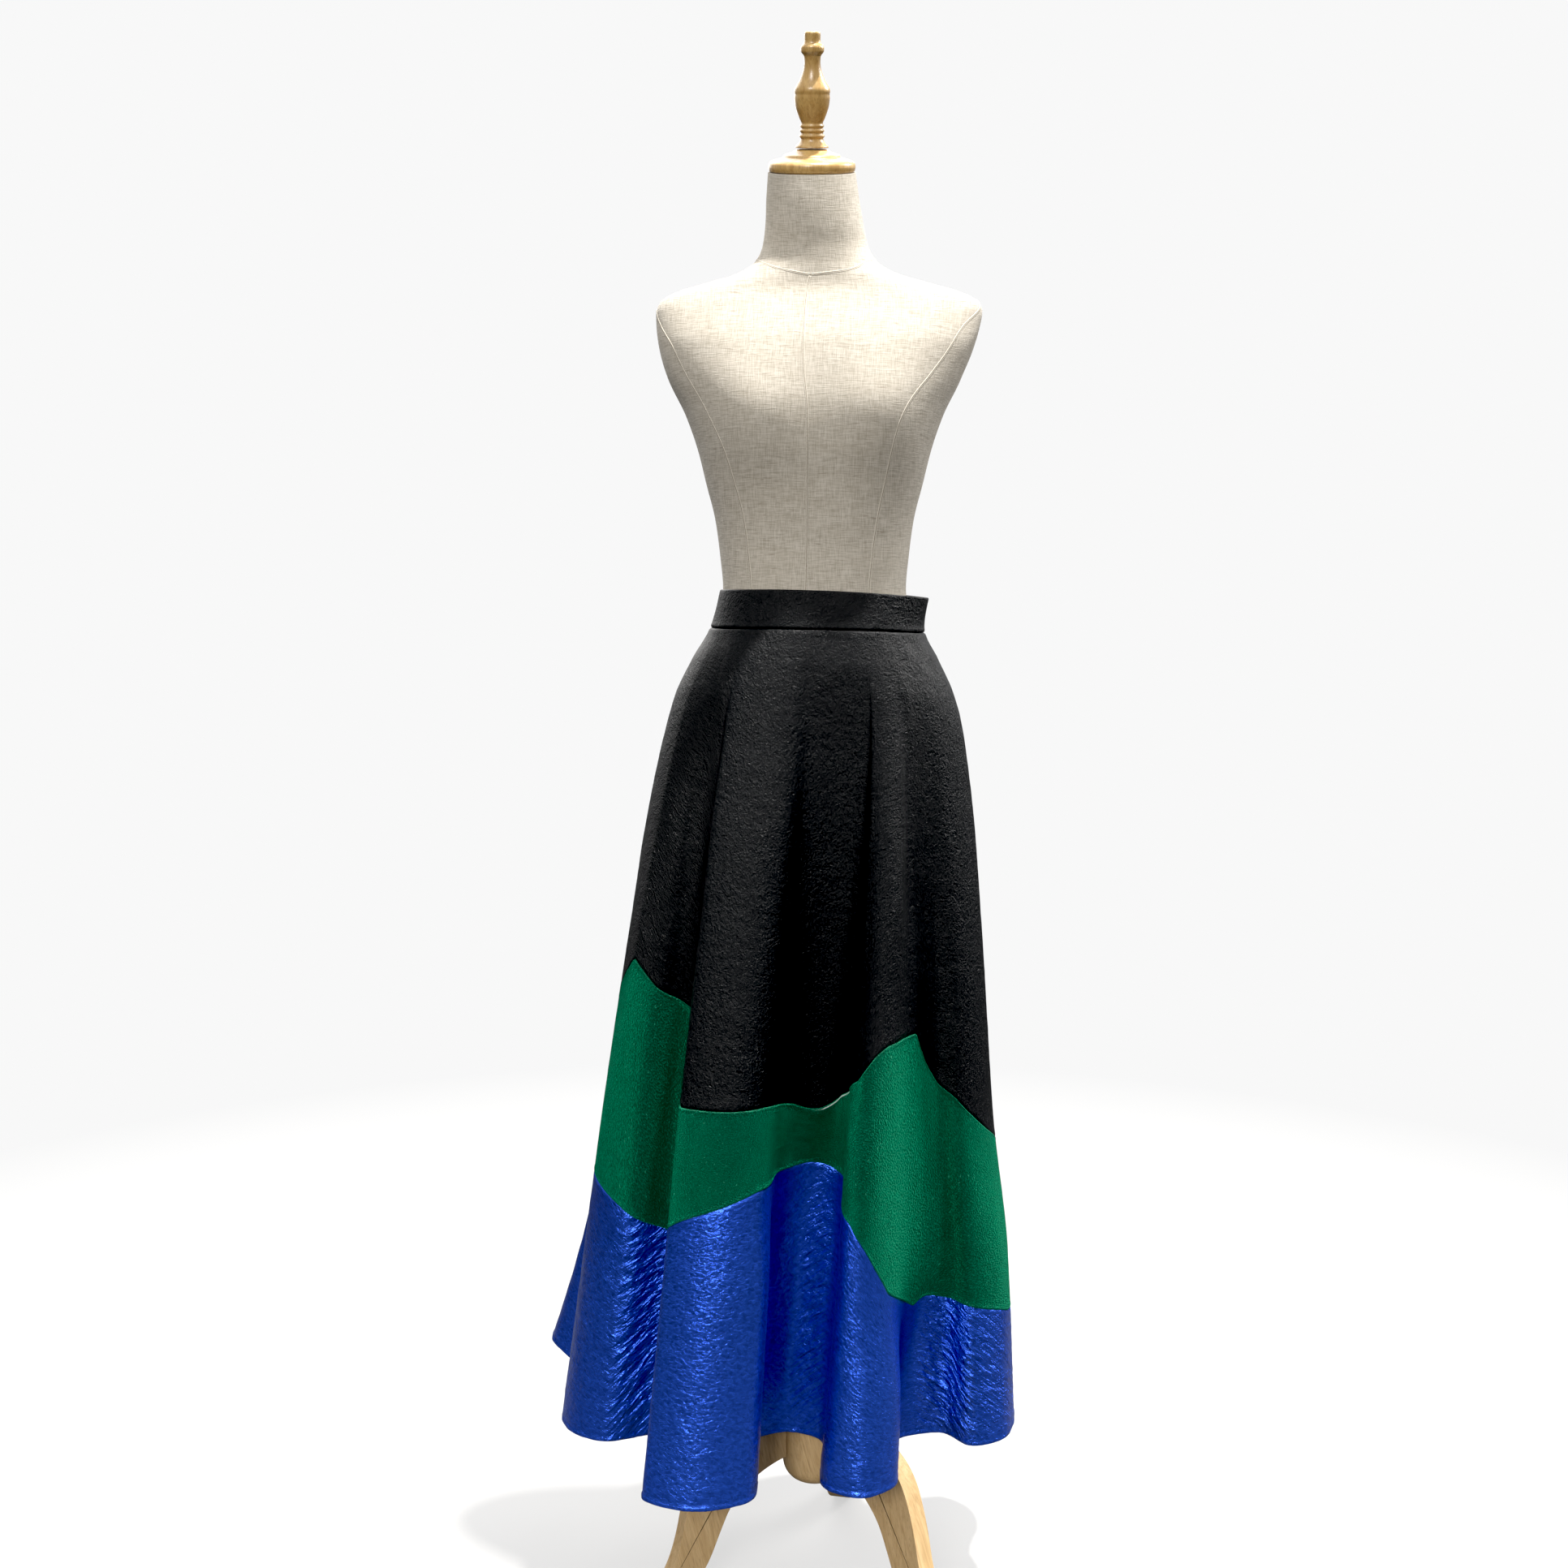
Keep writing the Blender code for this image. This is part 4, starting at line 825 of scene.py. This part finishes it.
def build_form_seams(stuff):
    """The seams between the form's linen panels, laid on it."""
    points, faces, spots = [], [], []
    across, up = SEAM_PROFILE.T * MM
    for _, closed, path in FORM_SEAMS:
        steps = SEAM_STEPS * (len(path) - 1) + 1
        if closed:
            path += ((path[0][0] + 360, path[0][1]),)
        knots = np.arange(len(path), dtype=float)
        fine = np.linspace(0, knots[-1], steps)
        turn, depth = [curve_at(knots, table_column(path, column), fine) for column in (0, 1)]
        turn = np.radians(turn)
        line = torso_at(turn, depth)
        around = torso_at(turn + NEAR_TURN, depth) - torso_at(turn - NEAR_TURN, depth)
        down = torso_at(turn, depth + NEAR_DEPTH) - torso_at(turn, depth - NEAR_DEPTH)
        outward = unit(np.cross(down, around))
        aside = unit(np.cross(np.gradient(line, axis=0), outward))
        rise = (up + SEAM_UP * MM)[:, None] * outward[:, None]
        faces.append(grid_faces(steps, len(across), start=sum(len(part) for part in points), flip=True))
        points.append((line[:, None] + across[:, None] * aside[:, None] + rise).reshape(-1, 3))
        spots += [(share, i * SEAM_MAP_STEP * MM) for i in range(steps) for share in across]
    mesh = bpy.data.meshes.new("form_seams")
    mesh.from_pydata(np.concatenate(points).tolist(), [], np.concatenate(faces).tolist())
    layer = mesh.uv_layers.new(name="cloth")
    for loop in mesh.loops:
        layer.data[loop.index].uv = spots[loop.vertex_index]
    mesh.shade_smooth()
    piece = add_piece("form_seams", mesh, stuff)
    solid = piece.modifiers.new("thickness", "SOLIDIFY")
    solid.thickness = SEAM_THICK * MM
    solid.offset = -1


def rounded(points, rounds, share):
    """A line with its corners cut off, a share of each step from them, and its two ends kept."""
    for _ in range(rounds):
        cut = [points[0]]
        for (ax, ay), (bx, by) in zip(points, points[1:]):
            cut += [((1 - part) * ax + part * bx, (1 - part) * ay + part * by) for part in (share, 1 - share)]
        points = cut + [points[-1]]
    return points


def turned_piece(name, node, profile, stuff, place, tilt=0.0):
    """A turned piece from rows of radius and height in cm, as a closed mesh."""
    body = bmesh.new()
    turns = [2 * math.pi * step / TURNED_STEPS for step in range(TURNED_STEPS)]
    rings = []
    for radius, height in rounded(profile, *TURNED_ROUNDED):
        spots = [(radius * CM * math.cos(t), radius * CM * math.sin(t), height * CM) for t in turns]
        rings.append([body.verts.new(spot) for spot in (spots if radius > 1e-6 else spots[:1])])
    for upper, lower in zip(rings, rings[1:]):
        for step in range(TURNED_STEPS):
            pairs = ((upper, step), (lower, step), (lower, step + 1), (upper, step + 1))
            corners = list(dict.fromkeys(ring[at % len(ring)] for ring, at in pairs))
            if len(corners) > 2:
                body.faces.new(corners)
    bmesh.ops.recalc_face_normals(body, faces=body.faces)
    mesh = mesh_of(body, name)
    mesh.shade_smooth()
    mesh.transform(Matrix.Translation(place) @ Matrix.Rotation(tilt, 4, "X"))
    add_piece(name, mesh, stuff, node)


def build_leg(node, degrees, stuff):
    """A plank with rounded arrises and the outline of its solid."""
    name = f"{node}_plank"
    outline = rounded(LEG_TOP, *LEG_ROUNDED) + list(LEG_TOE) + rounded(LEG_UNDER, *LEG_ROUNDED)
    # The root ends where the hub begins.
    hub_radius = max(radius for radius, _ in HUB)
    half = LEG_THICK / 2
    body = bmesh.new()
    ring = [body.verts.new((-half, -max(distance, hub_radius) * CM, -depth * CM)) for distance, depth in outline]
    bmesh.ops.remove_doubles(body, verts=body.verts, dist=LEG_WELD)
    flat = body.faces.new([v for v in ring if v.is_valid])
    for item in bmesh.ops.extrude_face_region(body, geom=[flat])["geom"]:
        if isinstance(item, bmesh.types.BMVert):
            item.co.x = half
    bmesh.ops.recalc_face_normals(body, faces=body.faces)
    mesh = mesh_of(body, name)
    mesh.transform(Matrix.Translation((AXIS_X, AXIS_Y, WAIST_TOP)) @ Matrix.Rotation(math.radians(degrees), 4, "Z"))
    bevel = add_piece(name, mesh, stuff, node).modifiers.new("arris", "BEVEL")
    bevel.width = LEG_ARRIS
    bevel.segments = 4
    bevel.limit_method = "ANGLE"
    bevel.angle_limit = LEG_SHARP
    mesh.shade_smooth()
    mesh.set_sharp_from_angle(angle=LEG_SHARP)


# Materials
class Look:
    """A node tree and the coordinates of its noises. An input takes a value or another node's socket."""

    def __init__(self, tree):
        self.tree = tree

    def add(self, kind, inputs=None, **settings):
        made = self.tree.nodes.new(kind)
        for key, value in settings.items():
            setattr(made, key, value)
        for key, value in (inputs or {}).items():
            if isinstance(value, bpy.types.NodeSocket):
                self.tree.links.new(value, made.inputs[key])
            else:
                made.inputs[key].default_value = value
        return made

    def math(self, operation, first, second=0.0):
        return self.add("ShaderNodeMath", {0: first, 1: second}, operation=operation).outputs[0]

    def noise(self, scale, stretch, turn=0, detail=1, distortion=0.0, shift=0.0, rough=0.5):
        """Noise at a scale per metre, stretched after a turn in degrees."""
        turned = self.add("ShaderNodeMapping", {"Vector": self.coords, "Rotation": (0, 0, math.radians(turn))})
        sizes = {"Scale": tuple(scale * s for s in stretch), "Location": (shift, shift, shift)}
        sized = self.add("ShaderNodeMapping", {"Vector": turned.outputs[0], **sizes})
        values = {"Scale": 1.0, "Detail": detail, "Distortion": distortion, "Roughness": rough}
        return self.add("ShaderNodeTexNoise", {"Vector": sized.outputs[0], **values}).outputs["Fac"]

    def ramp(self, value, low, high):
        """The value's part between low and high, as 0 to 1."""
        made = self.add("ShaderNodeMapRange", {"Value": value, "From Min": low, "From Max": high}, clamp=True)
        return made.outputs["Result"]

    def mix(self, share, first, second):
        tones = [tone if isinstance(tone, bpy.types.NodeSocket) else (*tone, 1.0) for tone in (first, second)]
        return self.add("ShaderNodeMix", {0: share, 6: tones[0], 7: tones[1]}, data_type="RGBA").outputs[2]

    def overlay(self, tone, value, low, high, share, colour):
        """The tone with a share of a colour over it, where the value goes from low to high."""
        return self.mix(self.math("MULTIPLY", self.ramp(value, low, high), share), tone, colour)

    def bump(self, height, distance, strength, below=None):
        under = {"Normal": below} if below else {}
        inputs = {"Height": height, "Distance": distance, "Strength": strength, **under}
        return self.add("ShaderNodeBump", inputs).outputs[0]

    def mark(self, name):
        return self.add("ShaderNodeAttribute", attribute_name=name).outputs["Fac"]

    def camera_ray(self):
        return self.add("ShaderNodeLightPath").outputs["Is Camera Ray"]

    def finish(self, tone, normal):
        """Links the colour and the normal to the shader, and gives the material."""
        self.tree.links.new(tone, self.shader.inputs["Base Color"])
        self.tree.links.new(normal, self.shader.inputs["Normal"])
        return self.made


def start_look(name, cloth=True, **values):
    """A material whose Principled shader has the given constants on its own sockets."""
    made = bpy.data.materials.new(name)
    made.use_nodes = True
    look = Look(made.node_tree)
    look.made = made
    look.shader = made.node_tree.nodes["Principled BSDF"]
    for key, value in values.items():
        look.shader.inputs[key.replace("_", " ").title().replace("Ior", "IOR")].default_value = value
    if cloth:
        look.coords = look.add("ShaderNodeUVMap", uv_map="cloth").outputs[0]
    else:
        look.coords = look.add("ShaderNodeTexCoord").outputs["Object"]
    return look


def black_satin():
    look = start_look("black_crinkle_satin", roughness=0.38, specular_ior_level=0.22)
    fine = look.noise(360, (1.2, 1.1, 1), 12, detail=3, distortion=1.0, rough=0.6)
    wide = look.noise(120, (1.3, 0.9, 1), -25, detail=2, distortion=0.8, shift=3.1)
    thread = look.noise(900, (1.0, 0.25, 1), shift=7.7)
    tone = look.mix(look.ramp(fine, 0.35, 0.7), (0.0006, 0.0014, 0.0024), (0.0016, 0.0024, 0.0036))
    creases = look.bump(fine, 0.0016, 0.9, look.bump(wide, 0.0016, 0.8))
    return look.finish(tone, look.bump(thread, 0.0001, 0.4, creases))


def green_velvet():
    look = start_look(
        "green_velvet", roughness=0.85, specular_ior_level=0.05, sheen_weight=0.42, sheen_roughness=0.32,
        sheen_tint=(0.03, 0.80, 0.40, 1.0),
    )
    nap = look.noise(26, (1.6, 0.6, 1), 8, detail=3, distortion=0.6)
    pile = look.noise(640, (1, 1, 1), detail=2, shift=2.2)
    speck = look.noise(420, (1, 0.5, 1), 20, shift=9.1)
    painted_sheen = look.mark("painted_sheen")
    tone = look.mix(look.ramp(nap, 0.3, 0.72), (0.0030, 0.046, 0.0255), (0.0044, 0.063, 0.0345))
    tone = look.overlay(tone, pile, 0.48, 0.74, 0.6, (0.008, 0.17, 0.10))
    tone = look.overlay(tone, speck, 0.68, 0.78, 0.5, (0.06, 0.33, 0.20))
    # Painted sheen: a paler green where the rolled lips are marked.
    tone = look.mix(look.math("MULTIPLY", painted_sheen, 0.8), tone, (0.06, 0.22, 0.14))
    # Painted highlight: near white where the mark goes above 0.9, on the fold at the green front's upper edge.
    tone = look.mix(look.ramp(painted_sheen, 0.9, 1.6), tone, (0.86, 0.94, 0.88))
    return look.finish(tone, look.bump(pile, 0.0045, 1.0, look.bump(nap, 0.002, 0.5)))


def blue_taffeta():
    look = start_look("blue_crinkle_taffeta", roughness=0.27, specular_ior_level=0.2, metallic=0.80)
    flecks = look.noise(260, (0.7, 1.3, 1), 10, detail=3, distortion=0.9, rough=0.6)
    pleats = look.noise(145, (0.22, 1.3, 1), -36, detail=2, distortion=0.4, shift=4.4)
    cross = look.noise(145, (0.26, 1.2, 1), 44, detail=2, distortion=0.4, shift=8.4)
    rib = look.noise(900, (0.08, 1.0, 1), shift=1.4)
    # The pleats run one way or the other with the sign of the hatching, and hardly show where there is none.
    way = look.mark("hatch")
    up_share = look.math("ADD", look.ramp(way, 0.0, 1.0), 0.04)
    down_share = look.math("ADD", look.ramp(look.math("MULTIPLY", way, -1.0), 0.0, 1.0), 0.04)
    pleats = look.math("MULTIPLY", pleats, up_share)
    folds = look.math("ADD", pleats, look.math("MULTIPLY", cross, down_share))
    creases = look.bump(flecks, 0.0010, 0.8, look.bump(folds, 0.0105, 1.0))
    tone = look.mix(look.ramp(flecks, 0.3, 0.7), (0.027, 0.072, 0.39), (0.050, 0.148, 0.83))
    return look.finish(tone, look.bump(rib, 0.00015, 0.5, creases))


def linen():
    look = start_look("slub_linen", roughness=0.88, specular_ior_level=0.2, sheen_weight=0.12, sheen_roughness=0.6)
    warp = look.noise(1500, (1.0, 0.06, 1), shift=0.5)
    weft = look.noise(1500, (0.06, 1.0, 1), shift=5.5)
    slub = look.noise(800, (0.09, 1.0, 1), detail=2, shift=2.5)
    fleck = look.noise(300, (0.22, 1.4, 1), shift=6.5)
    patch = look.noise(60, (0.5, 1.2, 1), detail=3, shift=1.5)
    stain = look.noise(17, (1.0, 0.8, 1), 20, detail=3, distortion=0.4, shift=3.7)
    thread = look.math("ADD", look.math("MULTIPLY", warp, 0.5), look.math("MULTIPLY", weft, 0.5))
    tone = look.mix(look.ramp(thread, 0.38, 0.62), (0.375, 0.338, 0.275), (0.585, 0.54, 0.467))
    tone = look.overlay(tone, patch, 0.35, 0.7, 0.22, (0.42, 0.372, 0.296))
    tone = look.overlay(tone, slub, 0.52, 0.74, 0.45, (0.60, 0.555, 0.48))
    tone = look.overlay(tone, fleck, 0.66, 0.78, 0.55, (0.26, 0.22, 0.17))
    tone = look.overlay(tone, stain, 0.66, 0.76, 0.35, (0.31, 0.285, 0.235))
    return look.finish(tone, look.bump(look.math("ADD", thread, look.math("MULTIPLY", slub, 0.5)), 0.0005, 0.7))


def seam_thread():
    """A pale seam with a dark line along its middle."""
    look = start_look("seam_linen", roughness=0.9, specular_ior_level=0.2)
    across = look.add("ShaderNodeSeparateXYZ", {"Vector": look.coords}).outputs[0]
    weave = look.noise(700, (1, 1, 1))
    tone = look.mix(look.ramp(weave, 0.3, 0.7), (0.52, 0.475, 0.40), (0.64, 0.60, 0.52))
    off_line = look.ramp(look.math("ABSOLUTE", across), 0.0001, 0.0006)
    return look.finish(look.mix(off_line, (0.26, 0.22, 0.17), tone), look.bump(weave, 0.0003, 0.6))


def wood(name, light, dark, pore, roughness, coat, lean):
    """Wood with long grain along the object's height, or at a lean to it in degrees."""
    values = {"roughness": roughness, "specular_ior_level": 0.45, "coat_weight": coat, "coat_roughness": 0.22}
    look = start_look(name, cloth=False, **values)
    leant = look.add("ShaderNodeMapping", {"Vector": look.coords, "Rotation": (0, math.radians(lean), 0)})
    look.coords = leant.outputs[0]
    grain = look.noise(130, (1, 1, 0.06), detail=4, distortion=1.6, rough=0.6)
    pores = look.noise(900, (1, 1, 0.03), detail=2, shift=4.0)
    tone = look.mix(look.ramp(grain, 0.32, 0.68), light, dark)
    tone = look.overlay(tone, pores, 0.56, 0.72, 0.5, pore)
    return look.finish(tone, look.bump(look.math("SUBTRACT", grain, pores), 0.0003, 0.5))


def zip_tape():
    look = start_look("zip_tape", cloth=False, roughness=0.75, specular_ior_level=0.3)
    rib = look.noise(1600, (1, 1, 0.2))
    return look.finish(look.mix(rib, (0.008, 0.008, 0.009), (0.03, 0.03, 0.032)), look.bump(rib, 0.0003, 0.7))


# The stage
CAMERA_BACK = 2.0
CAMERA_ASIDE = 0.035
SENSOR = 36
PHOTO = 1932
FOCAL_PIXELS = 2140
AXIS_PIXEL = 1003.5
EYE_PIXEL = 726
BACK_LIGHT = 0.94
BLACK_LEVEL = 0.010
# The floor near the part mixes a share of glow into its shaded surface, and is all glow far off, in metres. It gives
# back less light to the part than the camera sees.
FLOOR_RADIUS = 30
FLOOR_FADE = (0.7, 2.2)
FLOOR_GLOW_SHARE = 0.6
FLOOR_BOUNCE = (0.16, 0.16, 0.16)
FLOOR_SEEN = (0.42, 0.418, 0.412)
GLOW_BOUNCE = (0.02, 0.02, 0.02)


def build_camera():
    camera = bpy.data.cameras.new("camera")
    placed = bpy.data.objects.new("camera", camera)
    bpy.context.scene.collection.objects.link(placed)
    placed.location = (AXIS_X - CAMERA_ASIDE, AXIS_Y - CAMERA_BACK, WAIST_TOP)
    placed.rotation_euler = (math.radians(90), 0, 0)
    camera.sensor_width = SENSOR
    camera.lens = SENSOR * FOCAL_PIXELS / PHOTO
    camera.shift_x = -((AXIS_PIXEL - PHOTO / 2) / PHOTO - CAMERA_ASIDE / CAMERA_BACK * FOCAL_PIXELS / PHOTO)
    camera.shift_y = -(PHOTO / 2 - EYE_PIXEL) / PHOTO
    bpy.context.scene.camera = placed


def build_floor():
    """A pale floor that shows soft shadows near the part and fades into the background."""
    body = bmesh.new()
    bmesh.ops.create_circle(body, cap_ends=True, segments=96, radius=FLOOR_RADIUS)
    look = start_look("pale_floor", cloth=False, roughness=0.8, specular_ior_level=0.1)
    away = look.add("ShaderNodeVectorMath", {0: look.coords}, operation="LENGTH").outputs["Value"]
    fade = {"From Min": FLOOR_FADE[0], "From Max": FLOOR_FADE[1], "To Min": FLOOR_GLOW_SHARE}
    far = look.add("ShaderNodeMapRange", {"Value": away, **fade}, clamp=True).outputs["Result"]
    seen = look.camera_ray()
    look.tree.links.new(look.mix(seen, FLOOR_BOUNCE, FLOOR_SEEN), look.shader.inputs["Base Color"])
    glow = look.add("ShaderNodeEmission", {"Color": look.mix(seen, GLOW_BOUNCE, [BACK_LIGHT] * 3)})
    both = look.add("ShaderNodeMixShader", {0: far, 1: look.shader.outputs[0], 2: glow.outputs[0]})
    look.tree.links.new(both.outputs[0], look.tree.nodes["Material Output"].inputs["Surface"])
    new_object("floor", mesh_of(body, "floor"), look.made)


SUNS = (
    # name, energy, size in degrees, direction towards it
    ("key", 7.6, 2, (0.18, -0.09, 1.0)),
    ("upper_sky", 1.95, 14, (-0.2, -1.0, 0.50)),
    ("right_sky", 2.6, 25, (1.0, 0.42, 0.68)),
    ("rear_sky", 2.6, 60, (-0.3, 1.0, 0.8)),
)
SUN_COLOUR = (1.0, 0.975, 0.94)
SKY_FRONT = (0.055, 0.057, 0.061)
SKY_BEHIND = (0.27, 0.27, 0.275)
SKY_ABOVE = (0.86, 0.87, 0.89)


def build_lights():
    scene = bpy.context.scene
    for name, energy, degrees, towards in SUNS:
        sun = bpy.data.lights.new(name, "SUN")
        sun.energy = energy
        sun.angle = math.radians(degrees)
        sun.color = SUN_COLOUR
        placed = bpy.data.objects.new(name, sun)
        placed.rotation_euler = Vector(towards).to_track_quat("Z", "Y").to_euler()
        scene.collection.objects.link(placed)
    scene.world = bpy.data.worlds.new("studio")
    scene.world.use_nodes = True
    look = Look(scene.world.node_tree)
    direction = look.add("ShaderNodeTexCoord").outputs["Generated"]
    _, behind, above = look.add("ShaderNodeSeparateXYZ", {"Vector": direction}).outputs
    light = look.mix(look.ramp(behind, -0.05, 0.5), SKY_FRONT, SKY_BEHIND)
    light = look.mix(look.ramp(above, 0.0, 0.8), light, SKY_ABOVE)
    light = look.mix(look.camera_ray(), light, [BACK_LIGHT] * 3)
    look.tree.links.new(light, look.tree.nodes["Background"].inputs["Color"])
    scene.view_settings.view_transform = "Standard"
    scene.view_settings.use_curve_mapping = True
    scene.view_settings.curve_mapping.black_level = [BLACK_LEVEL] * 3


# What its zigzag edges add to a panel's height as cut, in metres.
ZIGZAG_HEIGHT = 0.12


def declare_sheets(made):
    """Works out each piece of cloth's length down its map, with what the zigzag edges add for the panels, and keeps
    nothing.
    """
    for name, (piece, area, lengths) in made.items():
        length = float(lengths[0, 0, 1] - lengths[-1, 0, 1])
        if name != "waistband":
            length += ZIGZAG_HEIGHT


def main():
    skirt = Skirt()
    stuffs = {"black": black_satin(), "green": green_velvet(), "blue": blue_taffeta()}
    made = build_panels(skirt, stuffs)
    made["waistband"] = build_waistband(skirt, stuffs["black"])
    tape = zip_tape()
    build_zip_top(skirt, tape)
    build_torso(linen())
    build_form_seams(seam_thread())
    varnished = wood("varnished_wood", (0.64, 0.43, 0.17), (0.46, 0.27, 0.09), (0.22, 0.11, 0.03), 0.34, 0.35, 0)
    pale = wood("pale_wood", (0.60, 0.43, 0.23), (0.44, 0.29, 0.135), (0.24, 0.15, 0.07), 0.5, 0.08, 14)
    depth, _, _, _, _, slope, shift = TORSO[-1]
    tilt = math.atan(slope)
    axis = Vector((0.0, -math.sin(tilt), math.cos(tilt)))
    neck = Vector((shift * CM + AXIS_X, AXIS_Y, WAIST_TOP - depth * CM))
    turned_piece("turned_cap", "neck_cap", CAP, varnished, neck + axis * GAP, tilt)
    turned_piece("turned_finial", "finial", FINIAL, varnished, neck + axis * 2 * GAP, tilt)
    hub = [(radius, -level) for radius, level in HUB]
    turned_piece("turned_hub", "hub", hub, pale, Vector((AXIS_X, AXIS_Y, WAIST_TOP)))
    for name, degrees in LEG_NAMES:
        build_leg(name, degrees, pale)
    for name, stuff in (("pole", pale), ("side_zip", tape)):
        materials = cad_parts[name].data.materials
        materials.clear()
        materials.append(stuff)
    declare_sheets(made)
    build_camera()
    build_floor()
    build_lights()


main()
